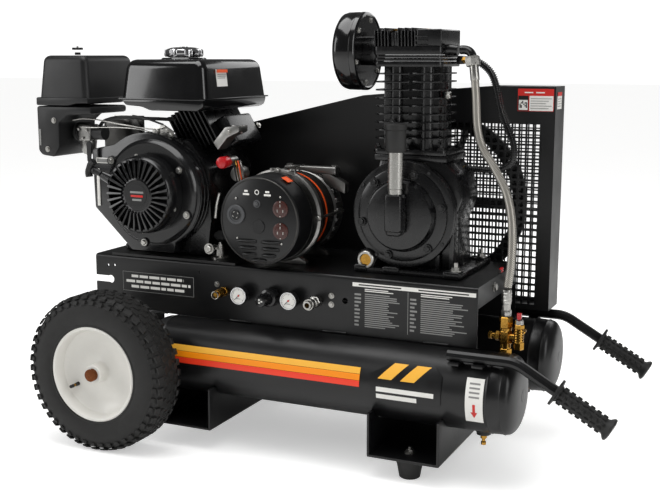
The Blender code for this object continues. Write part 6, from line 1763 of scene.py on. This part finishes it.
def check_valve():
    """Brass check valve with its compression nuts and plug, and the pilot valve beside it."""
    low, high = part("check_valve")
    x, y = 0.4865, -0.1
    base = low.z
    top = high.z
    up = UP
    piece = new_piece("turned_brass")
    spot = Vector((x, y, base))
    hexagon(piece, spot, up, 0.0005, 0.013, 0.0125)
    disc(piece, 0.0105, 0.013, 0.022, spot, up, 32)
    hexagon(piece, spot, up, 0.0215, 0.048, 0.0132)
    disc(piece, 0.0115, 0.048, 0.0525, spot, up, 32)
    hexagon(piece, spot, up, 0.052, top - base - 0.0002, 0.0132)
    mid = Vector((x, y, base + 0.035))
    hexagon(piece, mid, LEFT, 0.01, 0.02, 0.0098)
    disc(piece, 0.0062, 0.019, 0.027, mid, LEFT, 28)
    hexagon(piece, mid, LEFT, 0.0265, 0.0335, 0.0078)
    rod(piece, mid, mid + Vector((0.026, 0, 0)), 0.0078, 28)
    pilot = Vector((x + 0.026, y, base + 0.012))
    hexagon(piece, pilot, up, 0.0, 0.016, 0.0103)
    for index in range(5):
        lathe(piece, [(0, 0.016 + index * 0.005), (0.0092, 0.016 + index * 0.005),
            (0.01, 0.018 + index * 0.005), (0.0092, 0.0205 + index * 0.005), (0, 0.0205 + index * 0.005)],
            pilot, up, 32)
    hexagon(piece, pilot, up, 0.0405, 0.05, 0.0103)
    lathe(piece, [(0, 0.05), (0.0085, 0.05), (0.0078, 0.0578), (0, 0.0578)], pilot, up, 28,
        finish="zinc_plate")
    tube(piece, [pilot + Vector((0.006, 0, 0.03)), pilot + Vector((0.0095, 0.004, 0.034)),
        pilot + Vector((0.0095, 0.014, 0.036))], 0.0022, 2)
    complete(piece, "check_valve_brass", "frame", ["check_valve"])
    lever = new_piece("red_plastic")
    box(lever, (0.436, 0.02, DECK_HIGH.z + 0.0002), (0.4415, 0.036, DECK_HIGH.z + 0.01), 0.0012)
    rod(lever, (0.4388, 0.016, DECK_HIGH.z + 0.0042), (0.4388, 0.02, DECK_HIGH.z + 0.0042), 0.0035, 16,
        finish="zinc_plate")
    complete(lever, "fuel_valve_lever", "frame")
    keep_part("pilot_toggle", "red_plastic")
    for node in ("front_drain_cock", "rear_drain_cock"):
        keep_part(node, "turned_brass")
    keep_part("crossover_pipe", "powder_coat")


def gauge(name):
    """A pressure gauge: black case, bright bezel, white dial with ticks, and a black needle on a red hub."""
    low, high = part(name)
    spot = Vector(((low.x + high.x) / 2, high.y, (low.z + high.z) / 2))
    radius = (high.x - low.x) / 2
    depth = high.y - low.y
    out = FRONT
    piece = new_piece("black_vinyl")
    lathe(piece, [(0, 0), (0.0078, 0), (0.0078, 0.01), (radius * 0.8, 0.0115), (radius * 0.96, 0.0135),
        (radius * 0.97, depth - 0.004), (0, depth - 0.004)], spot, out, 56, finish="moulded_plastic")
    lathe(piece, [(radius * 0.86, depth - 0.0045), (radius, depth - 0.0045), (radius, depth - 0.0012),
        (radius * 0.965, depth - 0.0002), (radius * 0.9, depth - 0.0002), (radius * 0.86, depth - 0.0018)],
        spot, out, 64, closed=True, finish="chrome_plate")
    disc(piece, radius * 0.87, depth - 0.005, depth - 0.0028, spot, out, 56, finish="white_vinyl")
    face = spot + Vector((0, -(depth - 0.0028), 0))
    for index in range(21):
        turn = math.radians(225 - 270 * index / 20)
        long = index % 5 == 0
        reach = radius * (0.7 if long else 0.75)
        at = face + Vector((math.cos(turn) * reach, 0, math.sin(turn) * reach))
        half = Vector((radius * (0.085 if long else 0.045), 0.0003, 0.00032 if long else 0.0002))
        box(piece, at - half, at + half, turn=Matrix.Rotation(-turn, 4, "Y"))
    needle = math.radians(225)
    at = face + Vector((math.cos(needle) * radius * 0.22, -0.0006, math.sin(needle) * radius * 0.22))
    box(piece, at - Vector((radius * 0.42, 0.0003, 0.0005)), at + Vector((radius * 0.42, 0.0003, 0.0005)),
        turn=Matrix.Rotation(-needle, 4, "Y"))
    disc(piece, 0.0018, 0, 0.0012, face, out, 20, finish="red_vinyl")
    box(piece, face + Vector((-0.0045, -0.0004, -0.0072)), face + Vector((0.0045, -0.0001, -0.006)),
        finish="grey_print")
    complete(piece, name + "_dial", "frame", [name])


def panel_fittings():
    """Safety valve with its ring, regulator with its ribbed knob, and the quick coupler."""
    out = Vector(FRONT)
    low, high = part("safety_valve")
    spot = Vector(((low.x + high.x) / 2, high.y, (low.z + high.z) / 2))
    valve = new_piece("turned_brass")
    hexagon(valve, spot, out, 0, 0.0085, 0.0108)
    lathe(valve, [(0, 0.0085), (0.0072, 0.0085), (0.0072, 0.012), (0.0092, 0.013), (0.0092, 0.025),
        (0.008, 0.027), (0.008, 0.0338), (0, 0.0338)], spot, out, 40)
    for turn, across, up in ring_of(6, 0.0092):
        rod(valve, spot + Vector((across, -0.016, up)), spot + Vector((across * 0.96, -0.0236, up * 0.96)),
            0.0012, 8)
    complete(valve, "safety_valve_body", "frame", ["safety_valve"])

    low, high = part("safety_ring")
    spot = Vector(((low.x + high.x) / 2, high.y, (low.z + high.z) / 2))
    ring = new_piece("turned_brass")
    rod(ring, spot, spot + out * 0.006, 0.005, 24, 0.004)
    loop = [spot + Vector((0.0078 * math.cos(math.tau * k / 20), -0.0072,
        0.0078 * math.sin(math.tau * k / 20) - 0.001)) for k in range(21)]
    tube(ring, loop, 0.0009, 2, 3, finish="zinc_plate")
    complete(ring, "safety_pull_ring", "relief_ring", ["safety_ring"])

    low, high = part("regulator")
    spot = Vector(((low.x + high.x) / 2, high.y, (low.z + high.z) / 2))
    body = new_piece("gloss_plastic")
    radius = (high.z - low.z) / 2
    lathe(body, [(0, 0), (radius * 0.94, 0), (radius, 0.003), (radius, 0.02), (radius * 0.94, 0.0235),
        (radius * 0.7, 0.0255), (radius * 0.66, 0.0338), (0, 0.0338)], spot, out, 56)
    for turn, across, up in ring_of(12, radius * 0.97):
        box(body, spot + Vector((across - 0.0014, -0.019, up - 0.0014)),
            spot + Vector((across + 0.0014, -0.004, up + 0.0014)), 0.0005,
            turn=Matrix.Rotation(-turn, 4, "Y"))
    complete(body, "regulator_body", "frame", ["regulator"])
    low, high = part("regulator_knob")
    spot = Vector(((low.x + high.x) / 2, high.y, (low.z + high.z) / 2))
    knob = new_piece("gloss_plastic")
    radius = (high.x - low.x) / 2 - 0.0008
    depth = high.y - low.y
    lathe(knob, [(0, 0.0002), (radius, 0.0002), (radius, depth - 0.004), (radius * 0.9, depth - 0.0012),
        (radius * 0.62, depth - 0.0004), (radius * 0.56, depth - 0.0022), (0, depth - 0.0022)], spot, out,
        48)
    for turn, across, up in ring_of(14, radius - 0.0002):
        rod(knob, spot + Vector((across, -0.003, up)), spot + Vector((across, -(depth - 0.0042), up)),
            0.0011, 8)
    for turn, across, up in ring_of(3, radius * 0.28):
        box(knob, spot + Vector((across - 0.0016, -(depth - 0.0006), up - 0.0016)),
            spot + Vector((across + 0.0016, -(depth - 0.0026), up + 0.0016)), 0.0003, finish="white_vinyl")
    complete(knob, "regulator_turn_knob", "pressure_knob", ["regulator_knob"])

    low, high = part("quick_coupler")
    spot = Vector(((low.x + high.x) / 2, high.y, (low.z + high.z) / 2))
    plug = new_piece("zinc_plate")
    hexagon(plug, spot, out, 0, 0.016, 0.0124)
    lathe(plug, [(0.0055, 0.0165), (0.0088, 0.0165), (0.0088, 0.0225), (0.008, 0.0235), (0.008, 0.044),
        (0.0084, 0.045), (0.0084, 0.0495), (0.0055, 0.0495)], spot, out, 44, closed=True)
    disc(plug, 0.0082, 0.0155, 0.019, spot, out, 32, finish="turned_brass")
    complete(plug, "coupler_plug", "frame", ["quick_coupler"])
    low, high = part("coupler_sleeve")
    spot = Vector(((low.x + high.x) / 2, high.y, (low.z + high.z) / 2))
    sleeve = new_piece("zinc_plate")
    long = high.y - low.y
    lathe(sleeve, [(0.0091, 0), (0.0108, 0), (0.012, 0.0016), (0.012, 0.005), (0.011, 0.0062),
        (0.011, 0.012), (0.0122, 0.0134), (0.0122, long - 0.0016), (0.011, long), (0.0091, long)], spot,
        out, 56, closed=True)
    for turn, across, up in ring_of(26, 0.0111):
        rod(sleeve, spot + Vector((across, -0.0068, up)), spot + Vector((across, -0.0116, up)), 0.0006, 6)
    complete(sleeve, "coupler_lock_sleeve", "coupler_lock", ["coupler_sleeve"])
    gauge("tank_gauge")
    gauge("outlet_gauge")


# ------------------------------------------------------------------ stage
def stage():
    """Pale floor, soft lights and the camera."""
    paint = bpy.context.scene.compressor_colours
    material, tree, shader, place = new_material("matt_floor_paper")
    cloud = add_node(tree, "ShaderNodeTexNoise", {"Vector": place, "Scale": 0.7, "Detail": 2.0})
    ramp = add_node(tree, "ShaderNodeValToRGB", {"Fac": cloud.outputs["Fac"]})
    ramp.color_ramp.elements[0].color = (*[v * 0.985 for v in paint.floor], 1)
    ramp.color_ramp.elements[1].color = (*paint.floor, 1)
    tree.links.new(ramp.outputs["Color"], shader.inputs["Base Color"])
    shader.inputs["Roughness"].default_value = 0.95
    shader.inputs["Specular IOR Level"].default_value = 0.1
    rays = add_node(tree, "ShaderNodeLightPath")
    glow = add_node(tree, "ShaderNodeMapRange", {"Value": rays.outputs["Is Camera Ray"], "To Min": 0.0,
        "To Max": 0.42})
    tree.links.new(glow.outputs["Result"], shader.inputs["Emission Strength"])
    shader.inputs["Emission Color"].default_value = (1, 1, 1, 1)
    shape = bmesh.new()
    bmesh.ops.create_grid(shape, x_segments=1, y_segments=1, size=30)
    mesh = bpy.data.meshes.new("floor")
    shape.to_mesh(mesh)
    shape.free()
    mesh.materials.append(material)
    floor = bpy.data.objects.new("floor", mesh)
    bpy.context.scene.collection.objects.link(floor)

    world = bpy.data.worlds.new("studio")
    world.use_nodes = True
    tree = world.node_tree
    back = tree.nodes["Background"]
    rays = add_node(tree, "ShaderNodeLightPath")
    seen = add_node(tree, "ShaderNodeMapRange", {"Value": rays.outputs["Is Camera Ray"], "To Min": 0.62,
        "To Max": 1.12})
    mirrored = add_node(tree, "ShaderNodeMapRange", {"Value": rays.outputs["Is Glossy Ray"], "To Min": 0.0,
        "To Max": -0.53})
    level = add_node(tree, "ShaderNodeMath", {0: seen.outputs["Result"], 1: mirrored.outputs["Result"]},
        operation="ADD")
    tree.links.new(level.outputs["Value"], back.inputs["Strength"])
    back.inputs["Color"].default_value = (1, 1, 1, 1)
    bpy.context.scene.world = world

    focus = Vector((0.0, 0.0, 0.45))
    for name, place, size, power in (("top_softbox", (-0.3, -0.4, 2.9), (2.6, 1.5), 42),
            ("left_softbox", (-2.6, -1.9, 1.7), (1.3, 2.0), 28), ("right_softbox", (2.9, -0.9, 1.5),
            (1.0, 2.2), 20), ("back_softbox", (0.6, 2.8, 2.0), (2.4, 1.2), 16)):
        light = bpy.data.lights.new(name, "AREA")
        light.shape = "RECTANGLE"
        light.size, light.size_y = size
        light.energy = power
        lamp = bpy.data.objects.new(name, light)
        bpy.context.scene.collection.objects.link(lamp)
        lamp.location = place
        lamp.rotation_euler = (focus - Vector(place)).to_track_quat("-Z", "Y").to_euler()

    camera = bpy.data.cameras.new("camera")
    camera.lens = bpy.context.scene.compressor_sizes.lens
    camera.sensor_width = 36
    viewer = bpy.data.objects.new("camera", camera)
    bpy.context.scene.collection.objects.link(viewer)
    viewer.location = EYE + MIDDLE
    viewer.rotation_euler = (math.radians(90 - LOOK_DOWN), 0, math.radians(LOOK_ASIDE))
    bpy.context.scene.camera = viewer
    bpy.context.scene.view_settings.view_transform = "Standard"


# ------------------------------------------------------------------ add-on


class BuildFinishes(bpy.types.Operator):
    """Make the paints, plastics, metals and prints"""
    bl_idname = "compressor.finishes"
    bl_label = "Finishes"

    def execute(self, context):
        make_finishes()
        return {"FINISHED"}


class BuildStage(bpy.types.Operator):
    """Set the pale floor, the soft lights and the camera"""
    bl_idname = "compressor.stage"
    bl_label = "Stage"

    def execute(self, context):
        stage()
        return {"FINISHED"}


class BuildWheels(bpy.types.Operator):
    """Build the tyres, rims and axle"""
    bl_idname = "compressor.wheels"
    bl_label = "Wheels"

    def execute(self, context):
        wheel("front", -1)
        wheel("rear", 1)
        axle()
        return {"FINISHED"}


class BuildTanks(bpy.types.Operator):
    """Build the two tanks and the front tank's labels"""
    bl_idname = "compressor.tanks"
    bl_label = "Tanks"

    def execute(self, context):
        tank("front", -1)
        tank("rear", 1)
        tank_labels()
        return {"FINISHED"}


class BuildLegs(bpy.types.Operator):
    """Build the channels under the tanks and the rubber feet"""
    bl_idname = "compressor.legs"
    bl_label = "Legs"

    def execute(self, context):
        leg("wheel_leg", False)
        leg("foot_leg", True)
        return {"FINISHED"}


class BuildHandles(bpy.types.Operator):
    """Build the lifting handles and their grips"""
    bl_idname = "compressor.handles"
    bl_label = "Handles"

    def execute(self, context):
        handle("front", -1)
        handle("rear", 1)
        return {"FINISHED"}


class BuildDeck(bpy.types.Operator):
    """Build the deck and the control panel's labels"""
    bl_idname = "compressor.deck"
    bl_label = "Deck"

    def execute(self, context):
        deck()
        panel_labels()
        return {"FINISHED"}


class BuildEngine(bpy.types.Operator):
    """Build the crankcase, cooling housing and recoil starter"""
    bl_idname = "compressor.engine"
    bl_label = "Engine"

    def execute(self, context):
        engine_block()
        fan_housing()
        recoil_starter()
        pull_handle()
        return {"FINISHED"}


class BuildFuel(bpy.types.Operator):
    """Build the fuel tank, its label and its cap"""
    bl_idname = "compressor.fuel"
    bl_label = "Fuel tank"

    def execute(self, context):
        fuel_tank()
        fuel_cap()
        return {"FINISHED"}


class BuildIntake(bpy.types.Operator):
    """Build the air cleaner, carburettor and governor links"""
    bl_idname = "compressor.intake"
    bl_label = "Air cleaner"

    def execute(self, context):
        air_cleaner()
        return {"FINISHED"}


class BuildExhaust(bpy.types.Operator):
    """Build the silencer, electric starter and small fittings"""
    bl_idname = "compressor.exhaust"
    bl_label = "Exhaust and starter"

    def execute(self, context):
        muffler()
        engine_fittings()
        return {"FINISHED"}


class BuildGenerator(bpy.types.Operator):
    """Build the outlet drum, stator and brackets"""
    bl_idname = "compressor.generator"
    bl_label = "Generator"

    def execute(self, context):
        generator()
        return {"FINISHED"}


class BuildPump(bpy.types.Operator):
    """Build the crankcase, breather, cylinder, head and intake filter"""
    bl_idname = "compressor.pump"
    bl_label = "Pump"

    def execute(self, context):
        pump_crankcase()
        breather()
        pump_cylinder()
        pump_head()
        intake_filter()
        return {"FINISHED"}


class BuildAirLines(bpy.types.Operator):
    """Build the intercooler tubes and the braided hose"""
    bl_idname = "compressor.air_lines"
    bl_label = "Air lines"

    def execute(self, context):
        intercooler()
        discharge_hose()
        return {"FINISHED"}


class BuildGuard(bpy.types.Operator):
    """Build the guard, its grilles and labels"""
    bl_idname = "compressor.guard"
    bl_label = "Belt guard"

    def execute(self, context):
        belt_guard()
        return {"FINISHED"}


class BuildDrives(bpy.types.Operator):
    """Finish the flywheel, pulleys and belts"""
    bl_idname = "compressor.drives"
    bl_label = "Drives"

    def execute(self, context):
        drives()
        return {"FINISHED"}


class BuildValves(bpy.types.Operator):
    """Build the check valve and finish the tank fittings"""
    bl_idname = "compressor.valves"
    bl_label = "Valves"

    def execute(self, context):
        check_valve()
        return {"FINISHED"}


class BuildFittings(bpy.types.Operator):
    """Build the gauges, regulator, safety valve and coupler"""
    bl_idname = "compressor.fittings"
    bl_label = "Panel fittings"

    def execute(self, context):
        panel_fittings()
        return {"FINISHED"}


OPERATORS = (BuildFinishes, BuildStage, BuildWheels, BuildTanks, BuildLegs, BuildHandles, BuildDeck,
    BuildEngine, BuildFuel, BuildIntake, BuildExhaust, BuildGenerator, BuildPump, BuildAirLines, BuildGuard,
    BuildDrives, BuildValves, BuildFittings,)


class CompressorPanel(bpy.types.Panel):
    """Sizes, colours and build steps in the sidebar"""
    bl_idname = "VIEW3D_PT_compressor"
    bl_label = "Compressor"
    bl_space_type = "VIEW_3D"
    bl_region_type = "UI"
    bl_category = "Compressor"

    def draw(self, context):
        """Show the settings, then a button for each step."""
        column = self.layout.column()
        for group in (context.scene.compressor_sizes, context.scene.compressor_colours):
            for field in group.__annotations__:
                column.prop(group, field)
        for step in OPERATORS:
            column.operator(step.bl_idname)


CLASSES = (CompressorColours, CompressorSizes, *OPERATORS, CompressorPanel)


def register():
    """Add the classes and the two groups of settings."""
    for item in CLASSES:
        bpy.utils.register_class(item)
    bpy.types.Scene.compressor_colours = PointerProperty(type=CompressorColours)
    bpy.types.Scene.compressor_sizes = PointerProperty(type=CompressorSizes)


def unregister():
    """Take the classes and the settings away again."""
    del bpy.types.Scene.compressor_sizes
    del bpy.types.Scene.compressor_colours
    for item in reversed(CLASSES):
        bpy.utils.unregister_class(item)


def main():
    """Build every piece in order."""
    register()
    for step in OPERATORS:
        group, name = step.bl_idname.split(".")
        getattr(getattr(bpy.ops, group), name)()


if __name__ == "__main__":
    main()
